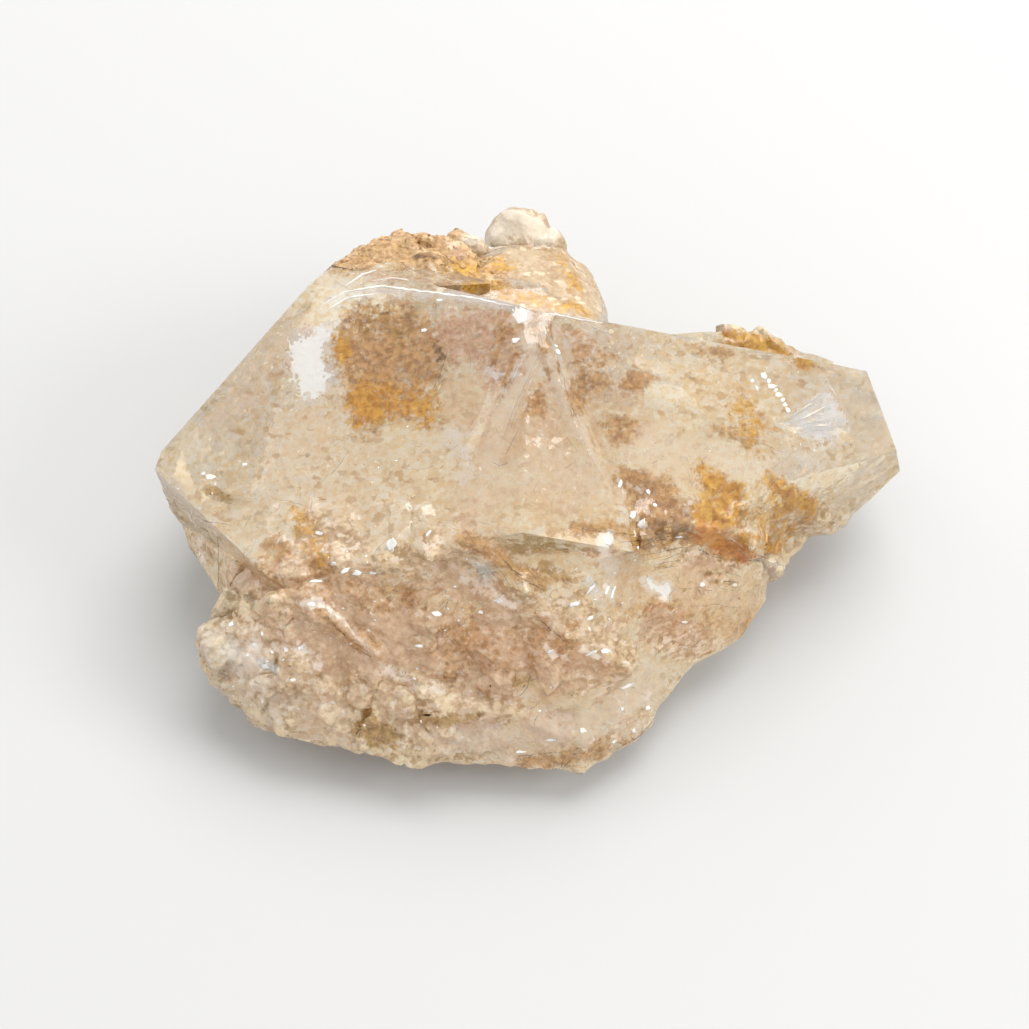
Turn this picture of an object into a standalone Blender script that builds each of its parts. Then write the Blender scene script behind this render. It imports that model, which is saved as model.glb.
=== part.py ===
"""A goshenite crystal, the colourless beryl, as one natural cluster.

Two clear crystals have grown together with a broken, stepped front mass and a pale rounded lump
behind, and iron-stained crust lies along the back of the ridge. All of it is one solid. It rests
on a flat face at its base. X runs along the cluster, +Y is the back and +Z is up.
"""

import math
import random

import bmesh
import bpy
from mathutils import Quaternion, Vector, noise
from mathutils.bvhtree import BVHTree

MM = 0.001

# Sizes in millimetres: the blank that a crystal is cut from, and the pieces of the broken faces.
BLANK = 90.0
ROUGH_PIECE = 1.8
FIRST_CUT = 0.37
CUT_REACH = 0.05
# Chips and lumps: their spacing in millimetres, and how much they stand out.
CHIP = 2.4
COARSE_CHIPS = 1.5
FINE_CHIPS = 0.9
FINE_SCALE = 2.3
LUMPINESS = 0.22
LUMP_SCALE = 1.7
# The base stays flat below this height, and the chips grow to their full depth over the next stretch.
BASE_BAND = 0.2
BASE_FADE = 1.6
# Points inside flat faces move by this share of their shortest edge.
SHIFT_SHARE = 0.32
# Faces that face an axis more than this aren't divided along it.
FLATTEST = (0.85, 0.85, 0.6)
# Where the roughness is below this, the surface is a clear crystal face and stays whole.
CLEAR = -0.25
SEED = 4

# Fields of broken flakes, in plan: name, low corner, high corner, how many, and size in millimetres.
FLAKE_FIELDS = [
    ("front_flake", (-12.0, -12.4), (6.0, -6.6), 26, 1.6),
    ("lobe_flake", (-18.0, -11.0), (-12.0, -5.0), 14, 1.5),
    ("valley_flake", (-15.0, -5.6), (-3.0, -2.6), 12, 1.3),
    ("step_flake", (6.0, -6.4), (15.4, -1.4), 14, 1.3),
    ("crust_flake", (-10.6, 13.2), (-2.0, 16.6), 12, 1.2),
    ("back_flake", (9.4, 8.6), (19.6, 10.4), 10, 1.1),
]

# The corners that the crystal faces run through, in millimetres, with the ridge across the top.
RIDGE_LEFT = Vector((-11.0, 13.6, 15.8))
RIDGE_MID = Vector((0.9, 7.9, 19.0))
BEVEL_LEFT = Vector((-10.3, 11.1, 16.4))
EDGE_HIGH = Vector((-11.9, 12.4, 16.0))
EDGE_LOW = Vector((-21.4, 3.2, 10.6))
LEFT_TIP = Vector((-21.7, 2.0, 10.3))
LEFT_LOW = Vector((-21.0, 1.8, 4.6))
VALLEY_LEFT = Vector((-16.2, -3.6, 10.4))
VALLEY_MID = Vector((-7.2, -4.6, 13.0))
VALLEY_RIGHT = Vector((4.9, -6.2, 13.6))
ARM_RIGHT = Vector((5.2, -1.7, 15.4))
END_TOP = Vector((21.4, 7.5, 13.0))
END_TIP = Vector((23.6, 4.3, 8.8))
END_LOW = Vector((21.7, 2.4, 6.0))
END_INNER = Vector((19.4, 2.1, 10.5))
BAND_MID = Vector((10.9, -2.4, 12.0))
BAND_END = Vector((16.6, -1.2, 5.2))
BAND_LOW = Vector((16.0, -2.2, 4.8))
FRONT_LEFT = Vector((-11.7, -13.0, 3.6))
FRONT_MID = Vector((-6.0, -13.9, 3.1))
FRONT_NOSE = Vector((3.9, -14.3, 2.4))
FRONT_RIGHT = Vector((7.1, -12.4, 2.4))
FRONT_END = Vector((10.6, -8.1, 3.2))
FRONT_SPUR = Vector((5.0, -8.8, 9.4))
DOWN = Vector((0.0, 0.0, -1.0))


def new_object(name, bm):
    """An object of this mesh, which it takes over."""
    mesh = bpy.data.meshes.new(name)
    bm.to_mesh(mesh)
    bm.free()
    obj = bpy.data.objects.new(name, mesh)
    bpy.context.scene.collection.objects.link(obj)
    return obj


def cut_away(bm, point, normal):
    """Cuts off what lies beyond a plane and closes the cut with one face."""
    whole = bm.verts[:] + bm.edges[:] + bm.faces[:]
    cut = bmesh.ops.bisect_plane(
        bm, geom=whole, dist=1e-7, plane_co=point, plane_no=normal, clear_outer=True
    )
    rim = [item for item in cut["geom_cut"] if isinstance(item, bmesh.types.BMEdge)]
    if rim:
        bmesh.ops.contextual_create(bm, geom=rim)


def crystal(name, middle, faces):
    """A convex crystal: a blank cut by faces, each through three corners or a corner and a normal."""
    bm = bmesh.new()
    bmesh.ops.create_cube(bm, size=BLANK * MM)
    bmesh.ops.translate(bm, verts=bm.verts, vec=Vector(middle) * MM)
    for face in faces:
        corner = Vector(face[0])
        if len(face) == 3:
            normal = (Vector(face[1]) - corner).cross(Vector(face[2]) - corner).normalized()
        else:
            normal = Vector(face[1]).normalized()
        if normal.dot(corner - Vector(middle)) < 0:
            normal.negate()
        cut_away(bm, corner * MM, normal)
    bmesh.ops.recalc_face_normals(bm, faces=bm.faces)
    return new_object(name, bm)


def lump(name, corners):
    """A broken lump: the convex hull of its corners."""
    bm = bmesh.new()
    for corner in corners:
        bm.verts.new(Vector(corner) * MM)
    bmesh.ops.convex_hull(bm, input=bm.verts)
    hull_verts = dict.fromkeys(vert for face in bm.faces for vert in face.verts)
    loose = [vert for vert in bm.verts if vert not in hull_verts]
    bmesh.ops.delete(bm, geom=loose, context="VERTS")
    bmesh.ops.recalc_face_normals(bm, faces=bm.faces)
    return new_object(name, bm)


def knob(name, centre, radii, turn=0.0):
    """A small rounded knob, or a cutter for a rounded break."""
    bm = bmesh.new()
    bmesh.ops.create_icosphere(bm, subdivisions=2, radius=1.0)
    for vert in bm.verts:
        x, y, z = vert.co * (1.0 + LUMPINESS * noise.noise(vert.co * LUMP_SCALE + Vector(centre)))
        x, y = x * math.cos(turn) - y * math.sin(turn), x * math.sin(turn) + y * math.cos(turn)
        vert.co = Vector((x * radii[0], y * radii[1], z * radii[2])) * MM + Vector(centre) * MM
    return new_object(name, bm)


def rib(name, start, end, width, lift):
    """A long low band that stands out of a face by lift, from start to end on that face."""
    start, end = Vector(start), Vector(end)
    run = end - start
    side = run.cross(Vector((0.0, 0.0, 1.0))).normalized() * width / 2
    up = side.cross(run).normalized() * lift
    up = up if up.z > 0 else -up
    corners = []
    for foot, inset in ((start, run * 0.08), (end, run * -0.08)):
        corners += [foot + side - up * 2, foot - side - up * 2]
        corners += [foot + inset + side * 0.6 + up, foot + inset - side * 0.5 + up * 0.7]
    return lump(name, corners)


def upper_crystal():
    """The left crystal, whose broad top face falls from the ridge to the left tip."""
    return crystal(
        "upper_crystal",
        (-4.0, 2.0, 8.0),
        [
            (RIDGE_MID, BEVEL_LEFT, VALLEY_MID),
            (RIDGE_MID, BEVEL_LEFT, RIDGE_LEFT),
            (RIDGE_MID, END_TOP - Vector((0.0, 0.3, 0.2)), VALLEY_RIGHT),
            (RIDGE_LEFT, RIDGE_MID, (-2.0, 14.6, 6.0)),
            (EDGE_LOW, EDGE_HIGH, (-16.0, 11.6, 4.0)),
            (EDGE_LOW, (-0.93, 0.36, -0.06)),
            (LEFT_TIP, LEFT_LOW, VALLEY_LEFT),
            (LEFT_LOW, (-0.62, 0.15, -0.77)),
            ((-14.2, 13.4, 4.0), (-0.60, 0.60, -0.52)),
            ((-6.0, 15.2, 3.4), (0.05, 0.75, -0.66)),
            ((0.0, -6.0, 6.0), (0.0, -1.0, 0.1)),
            ((8.0, -4.0, 3.0), (0.8, -0.3, -0.5)),
            (ARM_RIGHT, RIDGE_MID + Vector((0.8, 0.0, 0.0)), (9.0, -1.0, 8.0)),
            ((0.0, 0.0, -2.4), DOWN),
        ],
    )


def right_crystal():
    """The long right crystal, with its end faces, which overhangs at its free end."""
    return crystal(
        "right_crystal",
        (9.0, 3.0, 8.0),
        [
            (RIDGE_MID, END_TOP, BAND_MID),
            (RIDGE_MID, END_TOP, (12.0, 11.4, 6.0)),
            (END_TOP, END_TIP, END_INNER),
            (END_TIP, END_LOW, END_INNER),
            (END_TOP, END_TIP, (23.8, 6.8, 3.0)),
            (END_TOP, (0.35, 0.86, 0.35)),
            (END_LOW, BAND_END, (12.0, -3.0, 10.0)),
            (BAND_LOW, (0.15, -0.98, 0.1)),
            ((21.0, 3.0, 4.8), (0.55, -0.1, -0.83)),
            ((16.0, -1.0, 3.6), (0.5, -0.45, -0.74)),
            ((8.0, 11.5, 3.0), (0.1, 0.95, -0.3)),
            (RIDGE_MID, (-0.912, -0.41, 0.0)),
            ((0.0, 0.0, -2.9), DOWN),
        ],
    )


def front_crystal():
    """The front mass, whose broken face falls from the valley to the front edge."""
    return crystal(
        "front_crystal",
        (-2.0, -6.0, 5.0),
        [
            (VALLEY_MID, FRONT_LEFT, FRONT_MID),
            (VALLEY_RIGHT, FRONT_MID, FRONT_NOSE),
            (FRONT_NOSE, FRONT_RIGHT, FRONT_SPUR),
            (FRONT_RIGHT, FRONT_END, FRONT_SPUR),
            (FRONT_LEFT, FRONT_MID, (-6.0, -10.6, 0.0)),
            (FRONT_NOSE, FRONT_MID, (2.0, -12.0, 0.0)),
            (FRONT_NOSE, FRONT_RIGHT, (5.0, -10.8, 0.0)),
            (FRONT_RIGHT, FRONT_END, (7.6, -7.6, 0.0)),
            ((-12.0, -5.0, 10.3), (-0.50, 0.25, 0.83)),
            (VALLEY_RIGHT, (0.10, 0.28, 0.95)),
            ((10.8, -5.0, 5.0), (1.0, 0.2, 0.0)),
            ((-15.0, -5.0, 5.0), (-1.0, -0.2, -0.2)),
            ((0.0, 4.0, 5.0), (0.0, 1.0, 0.0)),
            ((0.0, 0.0, -3.4), DOWN),
        ],
    )


def left_lobe():
    """The broken lobe at the lower left."""
    return lump(
        "left_lobe",
        [
            (-19.3, -7.1, 4.8), (-18.5, -5.1, 5.0), (-18.7, -8.3, 4.6), (-17.6, -9.6, 4.4),
            (-16.1, -11.3, 4.2), (-14.3, -12.2, 4.0), (-12.2, -12.4, 4.0), (-11.2, -13.2, 3.4),
            (-14.4, -7.5, 9.0), (-13.3, -10.4, 6.9), (-17.4, -6.0, 1.6), (-15.0, -8.6, -1.45),
            (-16.0, -3.5, 8.4), (-9.0, -8.0, 9.0), (-9.0, -4.0, 3.0), (-14.0, -2.0, -0.93),
            (-10.5, -9.5, -1.58),
        ],
    )


def left_foot():
    """The smooth under part that shows below the left tip."""
    return lump(
        "left_foot",
        [
            (-20.8, 1.6, 4.6), (-19.9, 0.1, 3.8), (-18.8, -1.9, 3.6), (-17.9, -3.8, 4.8),
            (-17.8, -0.8, 7.4), (-16.6, -3.6, 8.2), (-18.2, 4.6, 1.4), (-16.8, -1.4, -1.06),
            (-15.2, 6.0, -1.71), (-12.0, 0.0, -1.19), (-12.0, 0.0, 8.0),
        ],
    )


def right_lobe():
    """The clear lobe at the lower right, under the stained step."""
    return lump(
        "right_lobe",
        [
            (15.6, -2.9, 4.8), (15.5, -3.6, 4.1), (13.9, -5.9, 3.6), (11.9, -7.2, 3.1),
            (10.3, -7.3, 3.4), (14.9, -2.2, 7.0), (12.2, -4.9, 7.6), (9.6, -6.6, 8.2),
            (10.5, -2.6, 10.6), (4.4, -5.7, 12.0), (12.6, -2.4, 1.2), (9.0, -5.5, -1.84),
            (5.0, -9.0, 2.0), (12.0, 1.0, -1.32), (14.0, 1.5, 7.0), (2.0, 0.0, -0.80),
        ],
    )


def back_lump():
    """The pale rounded lump behind the ridge."""
    return lump(
        "back_lump",
        [
            (-2.6, 18.2, 11.0), (-0.5, 19.3, 10.2), (2.7, 18.0, 11.7), (4.9, 16.7, 10.6),
            (5.8, 15.1, 8.2), (5.8, 15.4, 5.4), (5.4, 13.4, 11.9), (3.2, 15.4, 12.9),
            (-0.4, 16.4, 13.3), (5.4, 10.0, 13.4), (-4.0, 12.0, 14.8), (1.5, 13.0, 13.9),
            (-3.4, 17.2, 5.4), (-1.4, 18.6, 6.4), (1.4, 19.0, 6.2), (3.9, 17.6, 6.6),
            (4.4, 15.0, 1.9), (1.6, 17.2, 2.0), (-2.0, 16.8, 2.1), (3.6, 13.4, -1.1),
            (-2.4, 14.2, -1.3), (5.0, 6.0, 6.0), (-4.0, 6.0, 6.0),
        ],
    )


def crust_ledge():
    """The stained crust along the back of the left ridge."""
    return lump(
        "crust_ledge",
        [
            (-10.6, 14.8, 14.6), (-8.4, 16.1, 14.5), (-5.9, 17.2, 14.2), (-3.4, 16.6, 13.4),
            (-11.1, 13.2, 16.0), (-1.5, 12.6, 14.9), (-5.0, 10.9, 17.0), (-11.4, 12.4, 7.0),
            (-8.6, 14.6, 2.6), (-3.6, 16.2, 3.0), (-5.0, 13.6, -1.58), (-9.5, 10.0, -1.06),
            (-2.0, 8.0, 4.0),
        ],
    )


def back_crust():
    """The stained crust along the back of the right crystal."""
    return lump(
        "back_crust",
        [
            (8.6, 8.3, 15.6), (12.0, 9.5, 14.3), (14.6, 10.1, 13.2), (17.2, 10.3, 11.8),
            (19.9, 9.9, 10.4), (10.0, 5.0, 14.0), (19.0, 6.0, 10.0), (11.0, 10.6, 6.0),
            (17.6, 9.8, 6.4), (12.0, 6.0, 3.0),
        ],
    )


def small_forms():
    """The ribs and knobs that stand out of the crystals, one after another."""
    yield rib("left_arm", (1.0, 6.6, 18.9), (-3.0, -3.2, 14.6), 1.7, 0.26)
    yield rib("right_arm", (1.5, 6.7, 18.6), (4.9, -1.9, 15.3), 1.1, 0.25)
    yield rib("front_bar", (-3.0, -4.6, 14.2), (2.2, -7.6, 11.8), 1.3, 0.75)
    yield rib("spur_bar", (2.6, -8.6, 10.2), (7.4, -10.2, 7.2), 1.2, 0.65)
    yield rib("left_bar", (-12.4, -6.4, 10.2), (-7.4, -9.8, 8.2), 1.1, 0.75)
    yield rib("valley_rib", (-11.4, -4.9, 11.5), (-6.4, -5.6, 12.4), 1.1, 0.65)
    yield rib("stained_step", (6.8, -2.6, 13.0), (15.6, -1.6, 8.4), 1.7, 0.75)
    yield knob("top_knob", (0.3, 19.1, 10.6), (2.15, 1.75, 2.7))
    yield knob("side_knob", (2.1, 18.3, 10.9), (1.4, 1.2, 1.7))
    yield knob("small_knob", (-3.0, 17.3, 11.6), (1.5, 1.1, 1.7))
    yield knob("crust_knob", (-6.0, 15.9, 14.1), (1.9, 1.3, 1.15), 0.2)
    yield knob("step_knob", (15.5, -2.1, 5.4), (1.0, 0.8, 0.9), 0.6)
    yield knob("lobe_knob", (-17.3, -7.3, 5.8), (1.9, 1.7, 1.5), 0.4)


def flake(name, spot, normal, size, dice):
    """A thin broken flake lying on the surface at a spot, turned and shaped by the dice."""
    across = normal.orthogonal().normalized()
    across.rotate(Quaternion(normal, dice.uniform(0.0, 2 * math.pi)))
    along = normal.cross(across)
    lean = dice.uniform(0.0, 2 * math.pi)
    corners = []
    for step in range(6):
        angle = 2 * math.pi * (step + dice.uniform(-0.3, 0.3)) / 6
        foot = (across * math.cos(angle) + along * math.sin(angle) * 0.6) * size
        rise = 0.03 + 0.10 * (1 + math.cos(angle - lean))
        corners += [spot + foot - normal * size * 0.5, spot + foot * 0.8 + normal * size * rise]
    return lump(name, corners)


def flakes(whole):
    """The broken flakes, each set on the surface of the solid where a line from above meets it."""
    surface = BVHTree.FromObject(whole, bpy.context.evaluated_depsgraph_get())
    dice = random.Random(SEED)
    for name, low, high, count, size in FLAKE_FIELDS:
        for _ in range(count):
            place = (dice.uniform(low[0], high[0]), dice.uniform(low[1], high[1]), BLANK)
            spot, normal, *_ = surface.ray_cast(Vector(place) * MM, Vector((0.0, 0.0, -1.0)))
            if spot is not None:
                yield flake(name, spot / MM, normal, size * dice.uniform(0.6, 1.25), dice)


def breaks():
    """Cutters for the rounded breaks and pits, one after another."""
    yield knob("crust_pit", (-5.5, 15.5, 15.3), (0.9, 0.5, 1.4), 0.1)
    yield knob("left_notch", (-20.3, -4.6, 6.0), (1.5, 1.0, 6.0), 0.3)
    yield knob("front_break", (-2.9, -12.6, 9.4), (4.2, 3.8, 4.2), 0.3)
    yield knob("lobe_break", (9.1, -7.0, 11.9), (3.4, 2.8, 3.2), -0.4)
    yield knob("rim_break", (18.8, -1.7, 10.2), (2.6, 2.2, 3.2), 0.6)


# Where the surface is broken rather than a clear crystal face: a middle, a reach and how rough, in mm.
ROUGH_ZONES = [
    ((-15.5, -8.0, 5.0), 6.5, 1.00),
    ((-6.0, -11.0, 6.5), 8.0, 0.90),
    ((-11.0, -5.2, 9.6), 5.0, 0.80),
    ((-4.0, -7.0, 11.0), 6.0, 0.70),
    ((3.0, -9.0, 9.0), 6.5, 0.70),
    ((-6.5, 16.0, 13.2), 4.6, 1.00),
    ((15.0, 11.4, 12.0), 4.4, 0.75),
    ((18.0, -0.5, 5.5), 4.6, 0.80),
    ((11.0, -3.0, 10.5), 4.6, 0.70),
    ((2.0, 18.0, 7.0), 6.0, 0.35),
    ((0.0, 16.0, 0.5), 11.0, 0.80),
    ((-14.0, 10.0, 2.0), 8.0, 0.80),
    ((16.0, 4.0, 1.5), 8.0, 0.80),
    ((0.0, -11.0, 0.0), 15.0, 0.50),
    ((-20.5, 0.5, 6.0), 3.6, 0.45),
]


def roughness(spot):
    """How far the surface is broken at this spot, in millimetres, and below zero where it is clear."""
    found = -1.0
    for middle, reach, rough in ROUGH_ZONES:
        share = (spot - Vector(middle)).length / reach
        found = max(found, rough * (1 - share * share))
    return found


def divide_faces(bm):
    """Divides the faces by planes across each axis, and joins them again where the surface is clear."""
    for axis in range(3):
        normal = Vector((0.0, 0.0, 0.0))
        normal[axis] = 1.0
        reach = math.ceil(BLANK / 2 / ROUGH_PIECE)
        for step in range(-reach, reach + 1):
            point = normal * (step + FIRST_CUT) * ROUGH_PIECE * MM
            near = {}
            for face in bm.faces:
                sides = [(vert.co - point)[axis] for vert in face.verts]
                if abs(face.normal[axis]) < FLATTEST[axis] and min(sides) < 0 < max(sides):
                    near.update(dict.fromkeys([face] + face.edges[:] + face.verts[:]))
            bmesh.ops.bisect_plane(
                bm, geom=list(near), dist=CUT_REACH * MM, plane_co=point, plane_no=normal
            )
    clear = [v for v in bm.verts if roughness(v.co / MM) < CLEAR or v.co.z < BASE_BAND * MM]
    edges = dict.fromkeys(edge for vert in clear for edge in vert.link_edges)
    bmesh.ops.dissolve_limit(bm, angle_limit=math.radians(0.5), verts=clear, edges=list(edges))


def shift_points(bm, dice):
    """Moves the points inside flat broken faces about, so that the chips aren't all alike."""
    moves = {}
    for vert in bm.verts:
        normal = vert.link_faces[0].normal
        if all(face.normal.dot(normal) > 0.9999 for face in vert.link_faces):
            reach = min(edge.calc_length() for edge in vert.link_edges) * SHIFT_SHARE
            turn = dice.uniform(0.0, 2 * math.pi)
            across = normal.orthogonal().normalized()
            moves[vert] = (across * math.cos(turn) + normal.cross(across) * math.sin(turn)) * reach
    for vert, move in moves.items():
        if vert.co.z > BASE_BAND * MM:
            vert.co += move


def break_surface(whole):
    """Divides the faces and moves their points into chips, ledges and pits, with the base kept flat."""
    bm = bmesh.new()
    bm.from_mesh(whole.data)
    bmesh.ops.dissolve_limit(bm, angle_limit=math.radians(0.2), verts=bm.verts, edges=bm.edges)
    divide_faces(bm)
    bm.normal_update()
    dice = random.Random(SEED)
    shift_points(bm, dice)
    bmesh.ops.triangulate(bm, faces=bm.faces[:], quad_method="BEAUTY", ngon_method="BEAUTY")
    bm.normal_update()
    moves = {}
    for vert in bm.verts:
        spot = vert.co / MM
        lift = min(1.0, max(0.0, spot.z - BASE_BAND) / BASE_FADE)
        shortest = min(edge.calc_length() for edge in vert.link_edges) / MM
        depth = max(0.0, roughness(spot)) * lift
        coarse, fine = noise.noise(spot / CHIP), noise.noise(spot / CHIP * FINE_SCALE)
        depth *= COARSE_CHIPS * coarse + FINE_CHIPS * fine
        moves[vert] = vert.normal * max(-shortest, min(shortest, depth)) * MM
    for vert, move in moves.items():
        vert.co += move
        vert.co.z = max(vert.co.z, 0.0)
    bmesh.ops.recalc_face_normals(bm, faces=bm.faces)
    bm.to_mesh(whole.data)
    bm.free()


def flatten_base(whole):
    """Cuts the solid off flat at the height where it rests."""
    bm = bmesh.new()
    bm.from_mesh(whole.data)
    cut_away(bm, Vector((0.0, 0.0, 0.0)), DOWN)
    bm.to_mesh(whole.data)
    bm.free()


def apply_boolean(obj, other, operation):
    """Joins another solid to this one, or cuts it away, and removes that solid."""
    modifier = obj.modifiers.new(operation.title(), "BOOLEAN")
    modifier.operation = operation
    modifier.object = other
    modifier.solver = "EXACT"
    bpy.context.view_layer.update()
    evaluated = obj.evaluated_get(bpy.context.evaluated_depsgraph_get())
    mesh = bpy.data.meshes.new_from_object(evaluated)
    obj.modifiers.clear()
    obj.data = mesh
    bpy.data.objects.remove(other)


def crystal_material():
    """Clear beryl with a faint peach cast."""
    material = bpy.data.materials.new("clear_beryl")
    material.use_nodes = True
    surface = material.node_tree.nodes["Principled BSDF"]
    surface.inputs["Base Color"].default_value = (0.86, 0.74, 0.60, 1.0)
    surface.inputs["Roughness"].default_value = 0.12
    surface.inputs["Metallic"].default_value = 0.0
    surface.inputs["IOR"].default_value = 1.58
    surface.inputs["Transmission Weight"].default_value = 0.8
    return material


def cluster():
    """All the crystals and lumps as one solid."""
    whole = upper_crystal()
    blocks = (
        right_crystal, front_crystal, left_lobe, left_foot,
        right_lobe, back_lump, crust_ledge, back_crust,
    )
    for make in blocks:
        apply_boolean(whole, make(), "UNION")
    for form in small_forms():
        apply_boolean(whole, form, "UNION")
    for form in list(flakes(whole)):
        apply_boolean(whole, form, "UNION")
    for cutter in breaks():
        apply_boolean(whole, cutter, "DIFFERENCE")
    flatten_base(whole)
    break_surface(whole)
    whole.name = "goshenite_crystal"
    whole.data.name = "goshenite_crystal"
    whole.data.materials.clear()
    whole.data.materials.append(crystal_material())
    return whole


def stand_on_origin(whole):
    """Moves the mesh so that the middle of its base is at the origin."""
    corners = [Vector(corner) for corner in whole.bound_box]
    low = Vector(tuple(min(c[i] for c in corners) for i in range(3)))
    high = Vector(tuple(max(c[i] for c in corners) for i in range(3)))
    middle = (low + high) / 2
    for vert in whole.data.vertices:
        vert.co -= Vector((middle.x, middle.y, low.z))


def main():
    for old in list(bpy.data.objects):
        bpy.data.objects.remove(old)
    stand_on_origin(cluster())


main()
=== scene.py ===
import math
import random

import bpy
import numpy as np
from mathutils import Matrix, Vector, noise
from mathutils.bvhtree import BVHTree


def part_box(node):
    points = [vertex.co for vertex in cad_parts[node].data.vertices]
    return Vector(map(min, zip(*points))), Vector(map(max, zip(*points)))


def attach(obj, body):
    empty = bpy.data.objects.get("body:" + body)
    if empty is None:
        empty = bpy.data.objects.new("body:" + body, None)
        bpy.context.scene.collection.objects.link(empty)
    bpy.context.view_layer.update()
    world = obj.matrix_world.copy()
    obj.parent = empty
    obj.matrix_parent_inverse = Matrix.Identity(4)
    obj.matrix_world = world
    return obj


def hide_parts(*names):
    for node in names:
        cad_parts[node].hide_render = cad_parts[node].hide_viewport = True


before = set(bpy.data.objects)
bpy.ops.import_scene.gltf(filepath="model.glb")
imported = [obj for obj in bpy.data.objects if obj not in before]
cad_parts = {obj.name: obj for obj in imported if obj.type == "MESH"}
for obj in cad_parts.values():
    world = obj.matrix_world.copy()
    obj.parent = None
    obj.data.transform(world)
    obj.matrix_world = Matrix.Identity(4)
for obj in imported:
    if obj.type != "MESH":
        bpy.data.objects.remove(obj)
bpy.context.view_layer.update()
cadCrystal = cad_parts["goshenite_crystal"]
mm = 0.001
drawingZero = Vector((1.1438, 3.2026, 0.0))  # millimetres from the drawing's zero to the middle of the base
print("frame loaded")


# millimetres of the drawing, as metres of the frame
def at(x, y, z):
    return (Vector((x, y, z)) - drawingZero) * mm


def pickOnly(piece):
    bpy.ops.object.select_all(action="DESELECT")
    piece.select_set(True)
    bpy.context.view_layer.objects.active = piece


def switchTo(mode):
    bpy.ops.object.mode_set(mode=mode)


def linked(name, data):
    piece = bpy.data.objects.new(name, data)
    bpy.context.collection.objects.link(piece)
    return piece


def selectAll(action="SELECT"):
    bpy.ops.mesh.select_all(action=action)


def turnOutwards():
    switchTo("EDIT")
    selectAll()
    bpy.ops.mesh.normals_make_consistent(inside=False)
    switchTo("OBJECT")


# adds a modifier with its settings and applies it
def modify(piece, kind, **settings):
    step = piece.modifiers.new(kind, kind)
    for name, value in settings.items():
        setattr(step, name, value)
    bpy.ops.object.modifier_apply(modifier=step.name)


# one property of every point, edge or face, as an array
def readAll(rows, name, width=3, kind=float):
    found = np.zeros(len(rows) * width, kind)
    rows.foreach_get(name, found)
    return found.reshape(-1, width) if width > 1 else found


def points(piece):
    return readAll(piece.data.vertices, "co")


# rows of two numbers and then pixels, as the pixels in pairs and the two numbers
def unpacked(rows):
    return [(list(zip(row[2::2], row[3::2])), row[0], row[1]) for row in rows]


# every dressing piece takes its material and rides on the root
def settle(piece, material):
    piece.data.materials.append(material)
    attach(piece, "root")


# camera

camera = {
    "aim": at(0.0, 0.0, 8.5),
    "elevation": math.radians(60),
    "distance": 130.4 * mm,
    "lens": 75.0,
    "sensor": 36.0,
    "picture": 1029.0,  # pixels along a side of the photograph
}
away = Vector((0.0, -math.cos(camera["elevation"]), math.sin(camera["elevation"])))
eye = camera["aim"] + away * camera["distance"]
bpy.ops.object.camera_add(location=eye)
photoCamera = bpy.context.object
photoCamera.name = "photoCamera"
photoCamera.rotation_mode = "QUATERNION"
photoCamera.rotation_quaternion = (-away).to_track_quat("-Z", "Y")
photoCamera.data.lens = camera["lens"]
photoCamera.data.sensor_width = camera["sensor"]
photoCamera.data.clip_start = 1 * mm
scene = bpy.context.scene
bpy.context.scene.camera = photoCamera
scene.cycles.max_bounces = scene.cycles.transmission_bounces = 5
scene.cycles.diffuse_bounces = 2
bpy.context.view_layer.update()


# direction from the eye through a pixel of the photograph
def sightLine(px, py):
    half = camera["picture"] / 2
    scale = camera["sensor"] / camera["lens"] / camera["picture"]
    way = Vector(((px - half) * scale, (half - py) * scale, -1.0))
    return (photoCamera.matrix_world.to_quaternion() @ way).normalized()


# crystal, a finer copy of the solid

crystal = {
    "cell": 1.5 * mm,  # spacing of the first cuts
    "edge": 0.38 * mm,  # longer edges are cut in two
    "rounds": 6,
    "base": 0.35 * mm,  # the underside stays flat up to here
    "sharp": math.radians(15),
    "soften": {"broken": 5, "bars": 60, "spurs": 900},  # rounds of smoothing
    "relief": [  # where, kind of texture, size, depth and middle level
        ("broken", "SOFT_NOISE", 1.9 * mm, 0.30 * mm, 0.5),  # lumps
        ("broken", "HARD_NOISE", 0.75 * mm, 0.22 * mm, 0.4),  # chips
        ("broken", "ANGULAR", 1.1 * mm, 0.34 * mm, 0.4),  # facets
        ("broken", "ANGULAR", 0.34 * mm, 0.09 * mm, 0.4),  # grains
        ("clear", "SOFT_NOISE", 2.6 * mm, 0.05 * mm, 0.5),  # waves
    ],
}

# middle, reach and strength of what is broken, in millimetres of the drawing
brokenZones = [
    ((-15.5, -8, 5), 7, 1), ((-6, -11, 6.5), 8.5, 0.9), ((-11, -5.2, 9.6), 6, 0.8), ((-4, -7, 11), 7, 0.6),
    ((3, -9, 9), 6.5, 0.55), ((-6.5, 16, 13.2), 5.6, 1), ((15, 11.4, 12), 4.4, 0.8),
    ((18, -0.5, 5.5), 4.6, 0.7), ((12, -3, 10), 4.6, 0.6), ((2, 18, 9), 8, 0.45), ((0, 16, 0.5), 11, 0.8),
    ((-14, 10, 2), 8, 0.8), ((16, 4, 1.5), 8, 0.8), ((0, -11, 0), 15, 0.5), ((-20.5, 0.5, 6), 4, 0.55),
    ((-17.5, 0.5, 8.5), 3.5, 0.35), ((-13, 0.5, 10.5), 4.5, 0.35), ((-7, -1.5, 12.5), 4.5, 0.32),
    ((1.5, -1, 14), 4, 0.25), ((-18.3, 0.3, 6), 3.5, 0.6),
]


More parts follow.
